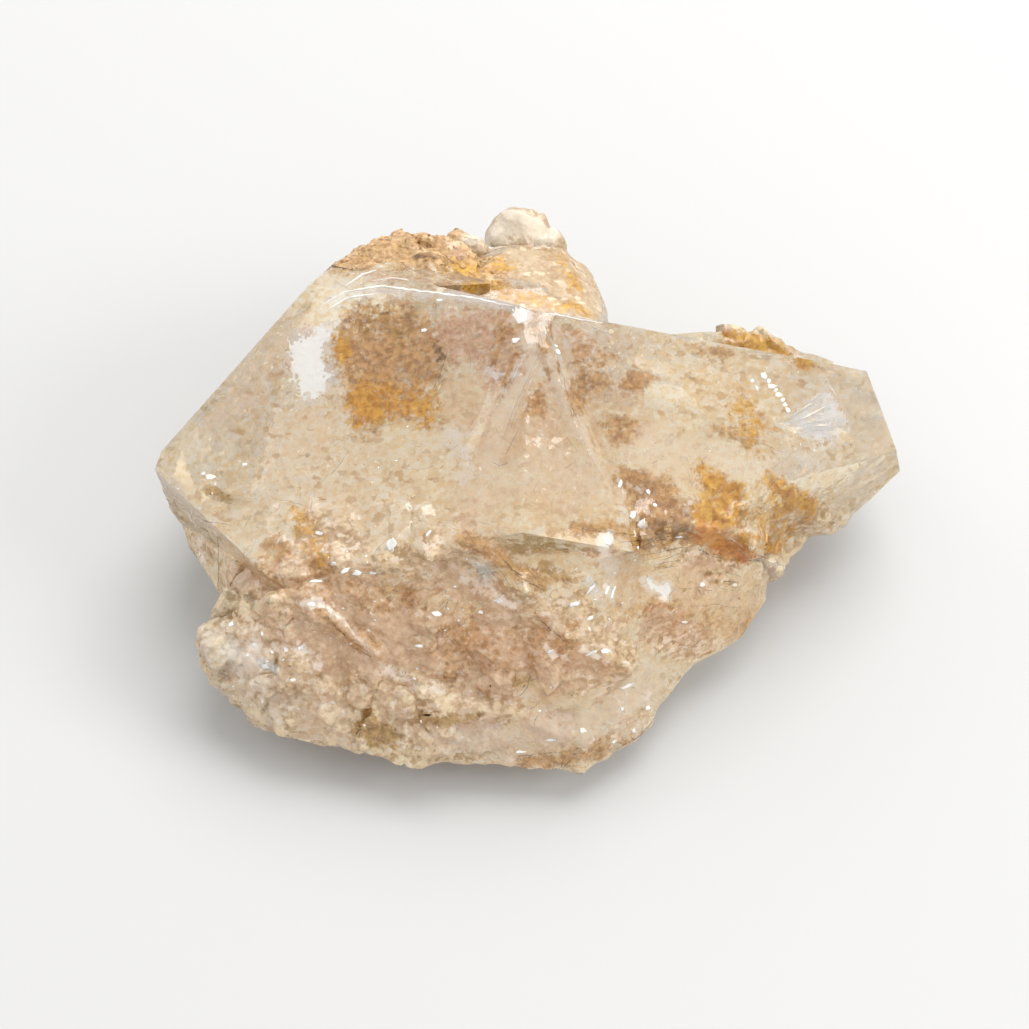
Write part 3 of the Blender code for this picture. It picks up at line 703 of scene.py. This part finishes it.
def berylMaterial(name):
    finish = finishes[name]
    wire = Wiring(name)
    broken = wire.layer("brokenShare")
    warp = wire.noise(*beryl["fine"])["Color"]
    fine = wire.split(warp)
    flakes = wire.flakes(*beryl["flakes"], warp)
    tone = wire.line(wire.layer("tone"), 0.6, 0.45)  # clouds, then flecks, flakes and hollows
    tone = wire.math("ADD", tone, wire.line(fine[0], 4.4, -2.2))
    tone = wire.math("ADD", tone, wire.line(flakes[2], 0.8, -0.4))
    # hollows darkened: partly painted shade, partly iron stain in the cracks
    tone = wire.line(wire.layer("hollowShadeAndStain"), 0.6, tone)
    color = wire.mix(wire.span(tone, 0.0, 1.0), finish["light"], finish["deep"])
    hue = wire.layer("hue")
    straw, blush, speck = (painted(beryl[tint], finish) for tint in ("straw", "blush", "speck"))
    color = wire.mix(wire.span(hue, 0.05, 0.6, 0, 0.35), color, straw)
    color = wire.mix(wire.span(hue, -0.05, -0.6, 0, 0.35), color, blush)
    color = wire.mix(wire.span(flakes[1], 0.88, 0.90, 0, 0.5), color, speck)
    # small bright flecks in the finish's sparkle colour: painted sparkle
    paintedSparkle = wire.line(wire.layer("tone"), -0.10, flakes[0])
    paintedSparkle = wire.line(broken, 0.05, paintedSparkle)
    color = wire.mix(wire.span(paintedSparkle, 0.89, 0.91, 0, 0.75), color, finish["paintedSparkle"])
    for layerName, (darker, lighter, strength) in stainColors.items():
        darker, lighter = painted(darker, finish), painted(lighter, finish)
        layer = wire.layer(layerName)
        share = wire.line(fine[2], 3.2, wire.math("SUBTRACT", layer, 1.6))
        share = wire.math("MULTIPLY", wire.span(share, 0.1, 0.85, 0, strength), wire.span(layer, 0.0, 0.25))
        grain = wire.line(flakes[2], 0.7, wire.line(fine[1], 3.2, -1.45))
        color = wire.mix(share, color, wire.mix(wire.span(grain, 0.0, 1.0), darker, lighter))
    # milky veils and painted glints, mixed toward the finish's white
    milk = wire.layer("milk")
    share = wire.line(fine[1], 2.0, wire.math("SUBTRACT", milk, 1.0))
    share = wire.math("MULTIPLY", wire.span(share, 0.25, 0.75, 0, 0.95), wire.span(milk, 0.0, 0.2))
    color = wire.mix(share, color, finish["white"])
    wire.set("Base Color", color)
    wire.set("Roughness", wire.span(broken, 0.0, 0.8, *finish["rough"]))
    wire.set("Transmission Weight", finish["transmission"])
    wire.set("IOR", beryl["ior"])
    strength = wire.span(broken, 0, 0.8, *finish["grit"])
    grit = wire.bump(wire.noise(*beryl["grit"])["Fac"], strength, beryl["gritDepth"])
    wire.set("Normal", grit)
    absorb = wire.add("VolumeAbsorption")
    wire.feed(absorb.inputs["Color"], beryl["absorption"])
    wire.feed(absorb.inputs["Density"], beryl["density"])
    output = wire.nodes["Material Output"]
    wire.links.new(absorb.outputs["Volume"], output.inputs["Volume"])
    return wire.material


crystalBody.data.materials.clear()
for name in finishes:
    crystalBody.data.materials.append(berylMaterial(name))
middles = readAll(crystalBody.data.polygons, "center")
wander = 0.35 * mottling(middles, 1.1 * mm, 3, 21.0)
corners = readAll(crystalBody.data.polygons, "vertices", 3, np.int32)
stained = np.maximum.reduce([shares[name][corners].mean(1) for name in ("redRust", "dark")])
broken = zoneShare(middles, brokenZones)
numberOf = {name: number for number, name in enumerate(finishes)}
finishOf = np.full(len(middles), numberOf["clearBeryl"], np.int32)
finishOf[(broken + wander > 0.5) | (stained > 0.55)] = numberOf["brokenBeryl"]
finishOf[strokeShare(middles, frostStrokes) + wander > 0.5] = numberOf["brokenBeryl"]
# the flat underside takes the whitened finish: painted glow
finishOf[middles[:, 2] < 0.4 * mm] = numberOf["milkyBase"]
finishOf[zoneShare(middles, lumpZones, 2.0) + wander > 0.5] = numberOf["paleLump"]
finishOf[strokeShare(middles, lumpStrokes) + wander > 0.5] = numberOf["paleLump"]
finishOf[zoneShare(middles, crustZones, 2.0) + wander > 0.5] = numberOf["ironCrust"]
seen = pixelsOf(middles)
# faces under the brightest glints and milky strokes take the white finish: partly painted glints
for _, _, stain, strength, outline in films.values():
    if stain == "milk" and strength >= 1.3:
        share = outlineShare(middles, seen, True, outline, 1.0)
        finishOf[share + 0.25 * wander > 0.82] = numberOf["whiteVeil"]
bright = [stroke for stroke in stains["milk"] if stroke[2] >= 0.95]
plain = np.isin(finishOf, (numberOf["clearBeryl"], numberOf["brokenBeryl"]))
finishOf[(strokeShare(middles, bright) > 0.5) & plain] = numberOf["whiteVeil"]
crystalBody.data.polygons.foreach_set("material_index", finishOf)
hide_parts("goshenite_crystal")
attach(crystalBody, "root")
print("beryl finished")


# stained fractures, and whitish sheets painted as reflections and glints, inside the crystal, just under its
# faces

# a thin ragged sheet that lies at a depth under the crystal's surface
def filmPiece(name, depth, outline, seed):
    spacing, holes = (1.2, 0.0) if films[name][0] == "veil" else (fractures["spacing"], fractures["holes"])
    low = [min(spot[side] for spot in outline) - 6 for side in (0, 1)]
    high = [max(spot[side] for spot in outline) + 6 for side in (0, 1)]
    counts = [int((b - a) / spacing) for a, b in zip(low, high)]
    bpy.ops.object.select_all(action="DESELECT")
    bpy.ops.mesh.primitive_grid_add(x_subdivisions=counts[0], y_subdivisions=counts[1], size=1)
    piece = bpy.context.object
    piece.name = piece.data.name = name
    switchTo("EDIT")
    selectAll("DESELECT")
    switchTo("OBJECT")
    spots = [[low[side] + (vert.co[side] + 0.5) * (high[side] - low[side]) for side in (0, 1)]
             for vert in piece.data.vertices]
    for vert, spot, inside in zip(piece.data.vertices, spots, insideBy(spots, outline)):
        cloud = noise.fractal(Vector((spot[0] / 14, spot[1] / 14, seed)), 0.8, 2.2, 4)
        grain = grainAt(spot, 5, seed + 9)
        hit = hitAt(*spot)
        crumbs = 0 if holes else 9 * grainAt(spot, 3, seed + 5)
        if not hit or inside < cloud * fractures["ragged"] + crumbs or grain > 1 - holes * 2:
            vert.select = True
            vert.co = eye
        else:
            vert.co = hit + sightLine(*spot) * depth * mm * (1 + fractures["buckle"] * (cloud + grain))
    switchTo("EDIT")
    bpy.ops.mesh.delete(type="VERT")
    turnOutwards()
    modify(piece, "SOLIDIFY", thickness=fractures["wall"])
    bpy.ops.object.shade_smooth_by_angle(angle=math.radians(50))
    return piece


def filmMaterial(name, first, second, rough, clear):
    wire = Wiring(name)
    blend = wire.math("MULTIPLY", wire.noise(2400, 2, 0.6)["Fac"], 0.4)
    blend = wire.line(wire.noise(520, 3, 0.6)["Fac"], 0.6, blend)
    wire.set("Base Color", wire.mix(wire.span(blend, 0.4, 0.6), first, second))
    wire.set("Roughness", rough)
    wire.set("Transmission Weight", clear)
    wire.set("IOR", fractures["ior"])
    wire.set("Normal", wire.bump(wire.noise(*fractures["grit"])["Fac"], 0.5, 0.2 * mm))
    return wire.material


# the fan and veil films are painted reflections and glints
filmFinishes = {
    "rustFilm": filmMaterial("rustFilm", (0.62, 0.32, 0.07), (0.92, 0.62, 0.28), 0.5, 0.30),
    "roseFilm": filmMaterial("roseFilm", (0.70, 0.37, 0.20), (0.94, 0.72, 0.52), 0.5, 0.40),
    "amberFilm": filmMaterial("amberFilm", (0.78, 0.38, 0.02), (0.95, 0.66, 0.22), 0.45, 0.35),
    "fanFilm": filmMaterial("fanFilm", (0.98, 0.95, 0.93), (0.78, 0.69, 0.64), 0.3, 0.2),
    "veil": filmMaterial("veil", (1.0, 0.985, 0.97), (0.95, 0.93, 0.93), 0.25, 0.05),
}
for seed, (name, (finish, depth, _, _, outline)) in enumerate(films.items()):
    if finish:
        settle(filmPiece(name, depth, outline, 3.7 * seed), filmFinishes[finish])
print("films laid")


# thin lines: cracks, growth lines, needle tubes, and light lines painted along edges as highlights

lines = {  # radius and depth under the surface in mm, then the points' pixels
    # white lines: whitish cracks and bands, and painted glints along edges and ledges
    "whiteLines": [
        (0.04, 0, 535, 344, 522, 360, 513, 378, 505, 388, 497, 399),
        (0.035, 0, 545, 352, 534, 374, 519, 405, 508, 436), (0.04, 0, 553, 348, 562, 384, 574, 420, 590, 458),
        (0.035, 0, 528, 352, 508, 386, 494, 412), (0.03, 0.02, 566, 437, 571, 444, 578, 451),
        (0.03, 0, 537, 318, 545, 334, 549, 350), (0.05, -0.01, 786, 420, 802, 409, 826, 395),
        (0.06, -0.01, 790, 425, 810, 415, 834, 402), (0.06, -0.01, 797, 431, 814, 426, 838, 425),
        (0.05, -0.01, 826, 378, 831, 388, 836, 396), (0.025, 0, 547, 316, 552, 334, 556, 350),
        (0.05, 0, 530, 308, 560, 314, 590, 320, 612, 325), (0.04, 0, 616, 362, 604, 375, 594, 390, 586, 402),
        (0.05, 0, 715, 530, 730, 538, 746, 549), (0.04, 0, 735, 547, 748, 556, 760, 566),
        (0.04, 0, 700, 525, 714, 527, 728, 532), (0.035, 0, 668, 533, 680, 529, 694, 529),
        (0.035, 0, 430, 424, 432, 400, 441, 384, 446, 360), (0.035, 0, 360, 432, 392, 424, 412, 417),
        (0.05, 0, 329, 563, 348, 571, 366, 573, 384, 572, 408, 569), (0.035, 0, 302, 581, 318, 580, 332, 576),
        (0.04, 0.05, 386, 663, 405, 676, 428, 690), (0.06, 0.05, 619, 684, 636, 688),
        (0.08, 0.05, 569, 603, 580, 608), (0.035, 0.05, 592, 745, 560, 752, 517, 755),
        (0.04, 0.05, 548, 738, 558, 742), (0.04, 0, 895, 442, 866, 452, 835, 465),
        (0.04, 0.05, 654, 579, 640, 585), (0.03, 0.1, 475, 690, 520, 683, 548, 676),
    ],
    # light lines along the ridge's bevels: painted highlights
    "rimLines": [
        (0.09, -0.08, 324, 304, 344, 292, 382, 286, 421, 291, 472, 298, 512, 306),
        (0.06, -0.05, 326, 311, 345, 299, 378, 293), (0.06, -0.05, 345, 286, 362, 275, 376, 270),
        (0.05, -0.04, 372, 281, 392, 278, 410, 280), (0.05, -0.04, 540, 312, 570, 317, 602, 323),
    ],
    "fanLines": [
        (0.035, 0, 785, 421, 800, 413, 824, 398), (0.03, 0, 787, 423, 806, 418, 832, 408),
        (0.035, 0, 793, 427, 812, 423, 836, 420), (0.03, 0, 800, 434, 820, 430, 838, 430),
        (0.03, 0, 790, 418, 808, 405, 824, 392),
    ],
    "brownLines": [
        (0.03, 0.03, 521, 425, 514, 438, 506, 455), (0.035, 0, 542, 317, 548, 334, 551, 346),
        (0.02, 0.02, 541, 350, 529, 376, 514, 408, 500, 446), (0.02, 0.02, 556, 352, 566, 390, 580, 428),
        (0.025, 0, 532, 318, 539, 332, 542, 344), (0.05, 0.03, 448, 350, 441, 372, 434, 388),
        (0.05, 0.02, 694, 546, 712, 556, 728, 560), (0.06, 0.02, 640, 548, 652, 541, 666, 539),
        (0.04, 0.03, 660, 561, 690, 549, 712, 550), (0.02, 0.04, 646, 560, 684, 552, 736, 557),
        (0.02, 0.04, 650, 571, 690, 563, 738, 570), (0.02, 0.04, 672, 590, 704, 587, 742, 591),
        (0.02, 0.04, 690, 607, 716, 604, 736, 608), (0.04, 0.03, 700, 581, 720, 580, 738, 583),
        (0.04, 0.03, 492, 462, 500, 466, 508, 463), (0.04, 0.03, 570, 528, 600, 531, 640, 536, 680, 532),
        (0.03, 0.03, 600, 543, 640, 541, 690, 533), (0.03, 0.03, 700, 525, 730, 540, 760, 556, 784, 566),
        (0.03, 0.05, 640, 556, 680, 548, 720, 548), (0.03, 0.05, 650, 566, 690, 557, 735, 562),
        (0.03, 0.05, 700, 575, 724, 572, 742, 577), (0.055, 0, 536, 616, 548, 627, 567, 642),
        (0.035, 0, 218, 535, 219, 560, 218, 597), (0.07, 0, 314, 609, 334, 624, 350, 641),
        (0.06, 0, 362, 632, 372, 640, 379, 647), (0.04, 0, 348, 643, 362, 652, 372, 658),
        (0.06, 0, 500, 556, 512, 570, 522, 576), (0.05, 0, 514, 573, 530, 584, 545, 590),
        (0.2, -0.12, 416, 255, 426, 256, 438, 259), (0.04, 0, 518, 756, 540, 754, 555, 751),
        (0.03, 0, 602, 757, 640, 736, 664, 707), (0.03, 0.03, 206, 495, 222, 502, 236, 505),
        (0.03, 0.03, 190, 512, 208, 522, 232, 525), (0.03, 0.05, 563, 768, 575, 755, 578, 747),
    ],
    "needleTubes": [
        (0.045, 0.45, 571, 366, 571, 385, 572, 403), (0.045, 0.4, 576, 372, 577, 388, 578, 404),
        (0.05, 0.45, 584, 378, 585, 392, 584, 404), (0.03, 0.4, 588, 360, 594, 350),
        (0.035, 0.3, 616, 362, 604, 376, 594, 390),
    ],
}
lines = {name: unpacked(rows) for name, rows in lines.items()}


def lineMaterial(name, color, rough):
    wire = Wiring(name)
    shade = [0.75 * part for part in color]
    share = wire.span(wire.noise(1500, 2)["Fac"], 0.4, 0.6)
    wire.set("Base Color", wire.mix(share, color, shade))
    wire.set("Roughness", rough)
    return wire.material


lineFinishes = {
    "whiteLines": lineMaterial("whiteLine", (0.60, 0.53, 0.43), 0.3),
    "rimLines": lineMaterial("rimHighlightLine", (0.72, 0.69, 0.63), 0.3),
    "fanLines": lineMaterial("fanLine", (0.34, 0.29, 0.28), 0.4),
    "brownLines": lineMaterial("brownLine", (0.20, 0.11, 0.045), 0.6),
    "needleTubes": lineMaterial("needleTube", (0.72, 0.60, 0.44), 0.3),
}


# thin tubes through places, with radii in millimetres, as one mesh
def tubePiece(name, tubes):
    curve = bpy.data.curves.new(name, "CURVE")
    curve.dimensions = "3D"
    curve.bevel_depth = 1.0 * mm
    curve.bevel_resolution = 0
    curve.use_fill_caps = True
    for places in tubes:
        spline = curve.splines.new("POLY")
        spline.points.add(len(places) - 1)
        for point, (place, radius) in zip(spline.points, places):
            point.co = (*place, 1)
            point.radius = radius
    pickOnly(linked(name, curve))
    bpy.ops.object.convert(target="MESH")
    turnOutwards()
    return bpy.context.object


def linePlaces(number, path, radius, depth):
    steps = []
    for start, end in zip(path[:-1], path[1:]):
        count = max(1, int(math.dist(start, end) / 3))
        steps += [Vector(start).lerp(Vector(end), step / count) for step in range(count)]
    steps.append(Vector(path[-1]))
    places = []
    for index, spot in enumerate(steps):
        wander = grainAt(spot, 7, number * 3.3)
        px, py = spot.x + 1.2 * wander, spot.y - 1.2 * wander
        hit = hitAt(px, py)
        if hit:
            swell = math.sin(math.pi * (index + 0.6) / (len(steps) + 0.2)) ** 0.5
            size = max(0.2 * radius, radius * swell * (1 + 0.5 * wander))
            places.append((hit + sightLine(px, py) * (depth + radius) * mm, size))
    return places


for name, strokes in lines.items():
    tubes = [linePlaces(number, *stroke) for number, stroke in enumerate(strokes)]
    settle(tubePiece(name, tubes), lineFinishes[name])
print("lines drawn")


# sparkling flakes painted as glints, specks inside the crystal and grains on the crust

scatterings = {
    # how many, sizes and depth in mm, and where: middle, reach and weight, in mm of the drawing
    # near-white chips standing in for sparkle: painted glints
    "sparkleFlakes": {
        "count": 380, "sizes": (0.08, 0.26), "depth": (-0.01, 0.03), "tilt": 0.7,
        "zones": [
            ((-15.8, -8.6, 6), 4.6, 1), ((-19, 0.5, 8), 4, 0.5), ((-10, -6, 10), 5, 0.45),
            ((-1.5, -6.5, 11), 3.4, 0.9), ((4.6, -5.6, 11), 3.6, 0.8), ((4, -10.5, 7), 4.5, 0.6),
            ((-6, -11, 6), 6, 0.35), ((-7, 0, 13), 4, 0.15), ((16, 4, 12), 4, 0.2),
            ((-6.5, 15.8, 13.5), 4, 0.4), ((0, 18, 6), 9, 0.3), ((-16, 8, 4), 8, 0.3), ((17, 4, 4), 8, 0.3),
        ],
    },
    "innerSpecks": {
        "count": 700, "sizes": (0.12, 0.40), "depth": (0.15, 1.2), "tilt": 1.4,
        "zones": [((-9, 3, 12), 12, 1), ((10, 3, 12), 12, 0.8), ((0, -9, 7), 10, 0.8)],
    },
    "innerStains": {
        "count": 420, "sizes": (0.10, 0.34), "depth": (0.15, 1), "tilt": 1.4,
        "zones": [((-9, 3, 12), 10, 0.5), ((12, 0, 10), 9, 1), ((-6, -8, 8), 8, 0.9)],
    },
    "crustGrains": {
        "count": 300, "sizes": (0.14, 0.42), "depth": (0, 0.12), "tilt": 0.8, "zones": crustZones,
    },
}


# a small five-sided chip with a smaller top
def chipShape():
    bpy.ops.object.select_all(action="DESELECT")
    bpy.ops.mesh.primitive_cylinder_add(vertices=5, radius=0.5, depth=0.14)
    piece = bpy.context.object
    switchTo("EDIT")
    selectAll("DESELECT")
    switchTo("OBJECT")
    for face in piece.data.polygons:
        face.select = face.normal.z > 0.9
    switchTo("EDIT")
    bpy.ops.transform.resize(value=(0.7, 0.8, 1.0))
    switchTo("OBJECT")
    return piece


# a small lumpy grain
def grainShape():
    bpy.ops.object.select_all(action="DESELECT")
    bpy.ops.mesh.primitive_ico_sphere_add(subdivisions=1, radius=0.5)
    piece = bpy.context.object
    switchTo("EDIT")
    selectAll()
    bpy.ops.transform.resize(value=(1.0, 0.8, 0.6))
    switchTo("OBJECT")
    return piece


# one mesh of a small shape's copies, from each copy's places for the shape's points
def copiesPiece(name, shape, copies):
    sides = [list(face.vertices) for face in shape.data.polygons]
    count = len(shape.data.vertices)
    polygons = [[corner + count * number for corner in side] for number in range(len(copies)) for side in sides]
    piece = linked(name, bpy.data.meshes.new(name))
    piece.data.from_pydata([place for places in copies for place in places], [], polygons)
    bpy.data.objects.remove(shape)
    return piece


faceAreas = readAll(crystalBody.data.polygons, "area", 1)
faceNormals = readAll(crystalBody.data.polygons, "normal")


# many copies of a small shape on the crystal or inside it, as one piece
def scattered(name, shape, plan, dice):
    odds = faceAreas * zoneShare(middles, plan["zones"], 1.6) * (middles[:, 2] > 1.0 * mm)
    reach = np.cumsum(odds)
    copies = []
    for _ in range(plan["count"]):
        index = int(np.searchsorted(reach, dice.random() * reach[-1]))
        normal = Vector(faceNormals[index])
        place = Vector(middles[index]) - normal * dice.uniform(*plan["depth"]) * mm
        lean = Vector([dice.gauss(0, 1) for _ in range(3)]) * plan["tilt"]
        turn = (normal + lean).to_track_quat("Z", "Y")
        size = dice.uniform(*plan["sizes"]) * mm
        spin, narrow = dice.uniform(0, 2 * math.pi), dice.uniform(0.5, 1.0)
        cos, sin = math.cos(spin), math.sin(spin)
        copies.append([])
        for x, y, z in points(shape):
            ring = Vector((x * cos - y * sin, (x * sin + y * cos) * narrow, z))
            copies[-1].append(place + turn @ (ring * size * dice.uniform(0.85, 1.15)))
    return copiesPiece(name, shape, copies)


scatterFinishes = {
    "sparkleFlakes": lineMaterial("sparkleFlake", (0.66, 0.64, 0.61), 0.25),
    "innerSpecks": lineMaterial("innerSpeck", (0.98, 0.90, 0.78), 0.3),
    "innerStains": lineMaterial("innerStain", (0.62, 0.38, 0.16), 0.5),
    "crustGrains": filmMaterial("crustGrain", (0.22, 0.11, 0.04), (0.46, 0.31, 0.15), 0.6, 0.1),
}
dice = random.Random(11)
for name, plan in scatterings.items():
    shape = grainShape() if name == "crustGrains" else chipShape()
    settle(scattered(name, shape, plan, dice), scatterFinishes[name])
print("flakes and grains scattered")


# single bright glints, each painted as a small flat near-white flake: middle in pixels, length, width and turn
glints = [
    (391, 545, 15, 14, 0.3), (210, 477, 9, 6, 0.2), (203, 474, 6, 4, 0.6), (245, 464, 7, 4, 0),
    (764, 376, 8, 6, 0.3), (769, 381, 6, 5, 0.9), (772, 386, 8, 5, 0.1), (776, 390, 5, 5, 0.6),
    (779, 395, 7, 5, 0.3), (783, 400, 5, 5, 0.9), (785, 405, 6, 4, 0.2), (788, 410, 5, 4, 0.6),
    (752, 381, 6, 5, 0.3), (757, 388, 7, 4, 0.9), (633, 515, 12, 6, -0.7), (641, 523, 10, 6, -0.7),
    (574, 604, 13, 5, -0.2), (628, 686, 18, 4, -0.2), (437, 614, 11, 5, 0.2), (420, 646, 12, 4, 0),
    (267, 666, 10, 6, 0.3), (286, 650, 7, 5, 0.8), (302, 647, 5, 5, 0.3), (293, 680, 7, 3, 0),
    (232, 624, 12, 5, 0.1), (333, 564, 9, 4, -0.7), (344, 571, 9, 4, -0.4), (356, 573, 12, 5, 0),
    (372, 573, 12, 4, 0), (316, 581, 20, 3, 0), (318, 533, 14, 4, 0.2), (428, 534, 9, 4, -0.8),
    (310, 604, 10, 4, 0), (481, 612, 8, 4, 0.3), (499, 601, 9, 7, 0.3), (590, 618, 7, 4, -0.5),
    (634, 731, 6, 5, 0.2), (582, 730, 7, 5, -0.5), (622, 709, 7, 5, 0.4), (648, 708, 9, 5, 0.5),
    (614, 742, 5, 4, 0), (592, 653, 14, 3, -0.5), (606, 651, 11, 5, 0), (551, 652, 10, 4, -0.6),
    (680, 537, 12, 3, 0), (702, 585, 6, 5, 0.4), (735, 585, 5, 5, 0), (515, 340, 7, 8, 0.2),
    (607, 590, 14, 3, -1.2), (613, 592, 12, 3, -1.2), (592, 588, 16, 5, -1), (607, 540, 9, 8, 0.1),
    (684, 622, 10, 4, 0.4), (424, 330, 6, 4, 0.2), (440, 300, 9, 3, 0.1), (552, 740, 12, 4, -0.3),
    (520, 752, 12, 3, 0), (558, 352, 6, 5, 0.3), (556, 346, 5, 4, 0), (648, 492, 6, 5, 0.2),
    (620, 484, 4, 8, 0.2), (655, 505, 5, 4, 0), (300, 648, 6, 4, 0.1), (255, 645, 6, 4, 0.5),
    (247, 655, 5, 4, 0.2), (262, 634, 5, 3, 0.9), (272, 652, 5, 4, 0),
]


def glintPiece(name, spots):
    shape = chipShape()
    copies = []
    for px, py, length, width, turn in spots:
        hit, normal, _, _ = fineTree.ray_cast(eye, sightLine(px, py))
        across = Vector((1, 0, 0)).cross(normal).normalized()
        along = normal.cross(across)
        cos, sin = math.cos(turn), math.sin(turn)
        along, across = along * cos + across * sin, across * cos - along * sin
        copies.append([])
        for x, y, z in points(shape):
            uneven = 1 + 0.7 * noise.noise(Vector((px + 3 * x, py + 3 * y, 0.5)))
            flat = (along * x * length - across * y * width) * uneven * 1.15 * pixel
            copies[-1].append(hit + flat + normal * z * 0.35 * mm)
    return copiesPiece(name, shape, copies)


settle(glintPiece("glintFlakes", glints), scatterFinishes["sparkleFlakes"])


# fine cracks, walked over the whole surface

cracks = {
    "whiteCracks": {"count": 340, "length": (0.5, 2.6), "radius": (0.012, 0.032), "depth": 0.03, "bend": 0.5},
    "brownCracks": {"count": 240, "length": (0.6, 3.2), "radius": (0.012, 0.030), "depth": 0.02, "bend": 0.4},
}


# short wandering cracks that follow the surface
def crackPiece(name, plan, dice):
    odds = faceAreas * (0.25 + zoneShare(middles, brokenZones)) * (middles[:, 2] > 1.0 * mm)
    reach = np.cumsum(odds)
    tubes = []
    for _ in range(plan["count"]):
        place = Vector(middles[int(np.searchsorted(reach, dice.random() * reach[-1]))])
        way = Vector([dice.gauss(0, 1), dice.gauss(0, 0.6), dice.gauss(0, 0.6)]).normalized()
        radius = dice.uniform(*plan["radius"])
        places = []
        for _ in range(int(dice.uniform(*plan["length"]) / 0.16)):
            spot, normal, _, _ = fineTree.find_nearest(place)
            way = (way + Vector([dice.gauss(0, plan["bend"]) for _ in range(3)]) * 0.5).normalized()
            way = (way - normal * way.dot(normal)).normalized()
            places.append(spot - normal * (plan["depth"] + radius * 0.5) * mm)
            place = spot + way * 0.16 * mm
        swells = [max(0.25, math.sin(math.pi * (index + 0.5) / len(places))) for index in range(len(places))]
        tubes.append([(place, radius * swell) for place, swell in zip(places, swells)])
    return tubePiece(name, tubes)


for name, plan in cracks.items():
    piece = crackPiece(name, plan, random.Random(len(name) + plan["count"]))
    settle(piece, lineFinishes[name.replace("Cracks", "Lines")])
print("cracks walked")


# floor and light

studio = {
    "floor": (0.393, 0.393, 0.390),
    "paper": (0.6, 0.2),  # roughness and shine
    "world": (1.0, 1.0, 1.0, 1),
    "worldStrength": 1.18,
    "tint": (1.0, 0.99, 0.98),
    "key": (Vector((0.08, 0.17, 0.33)), 0.32, 1.54),  # place, size and power
    "left": (Vector((-0.30, 0.17, 0.17)), 0.26, 0.32),
    "right": (Vector((0.31, -0.057, 0.209)), 0.18, 0.78),
}
bpy.ops.mesh.primitive_plane_add(size=1.6, location=(0, 0, -0.00005))
floor = bpy.context.object
floor.name = "floor"
paper = Wiring("floorPaper")
paper.set("Base Color", studio["floor"])
paper.set("Roughness", studio["paper"][0])
paper.set("Specular IOR Level", studio["paper"][1])
floor.data.materials.append(paper.material)

for name in ("key", "left", "right"):
    place, size, power = studio[name]
    bpy.ops.object.light_add(type="AREA", location=place)
    light = bpy.context.object
    light.name = name + "Light"
    light.data.shape = "DISK"
    light.data.size = size
    light.data.energy = power
    light.data.color = studio["tint"]
    light.visible_transmission = False  # no hot spots through the crystal
    light.visible_glossy = name != "right"
    light.rotation_mode = "QUATERNION"
    light.rotation_quaternion = (camera["aim"] - place).to_track_quat("-Z", "Y")

world = bpy.data.worlds.new("studioWorld")
world.use_nodes = True
sky = world.node_tree.nodes["Background"].inputs
sky["Color"].default_value = studio["world"]
sky["Strength"].default_value = studio["worldStrength"]
scene.world = world
scene.view_settings.view_transform = "Standard"
print("studio set")
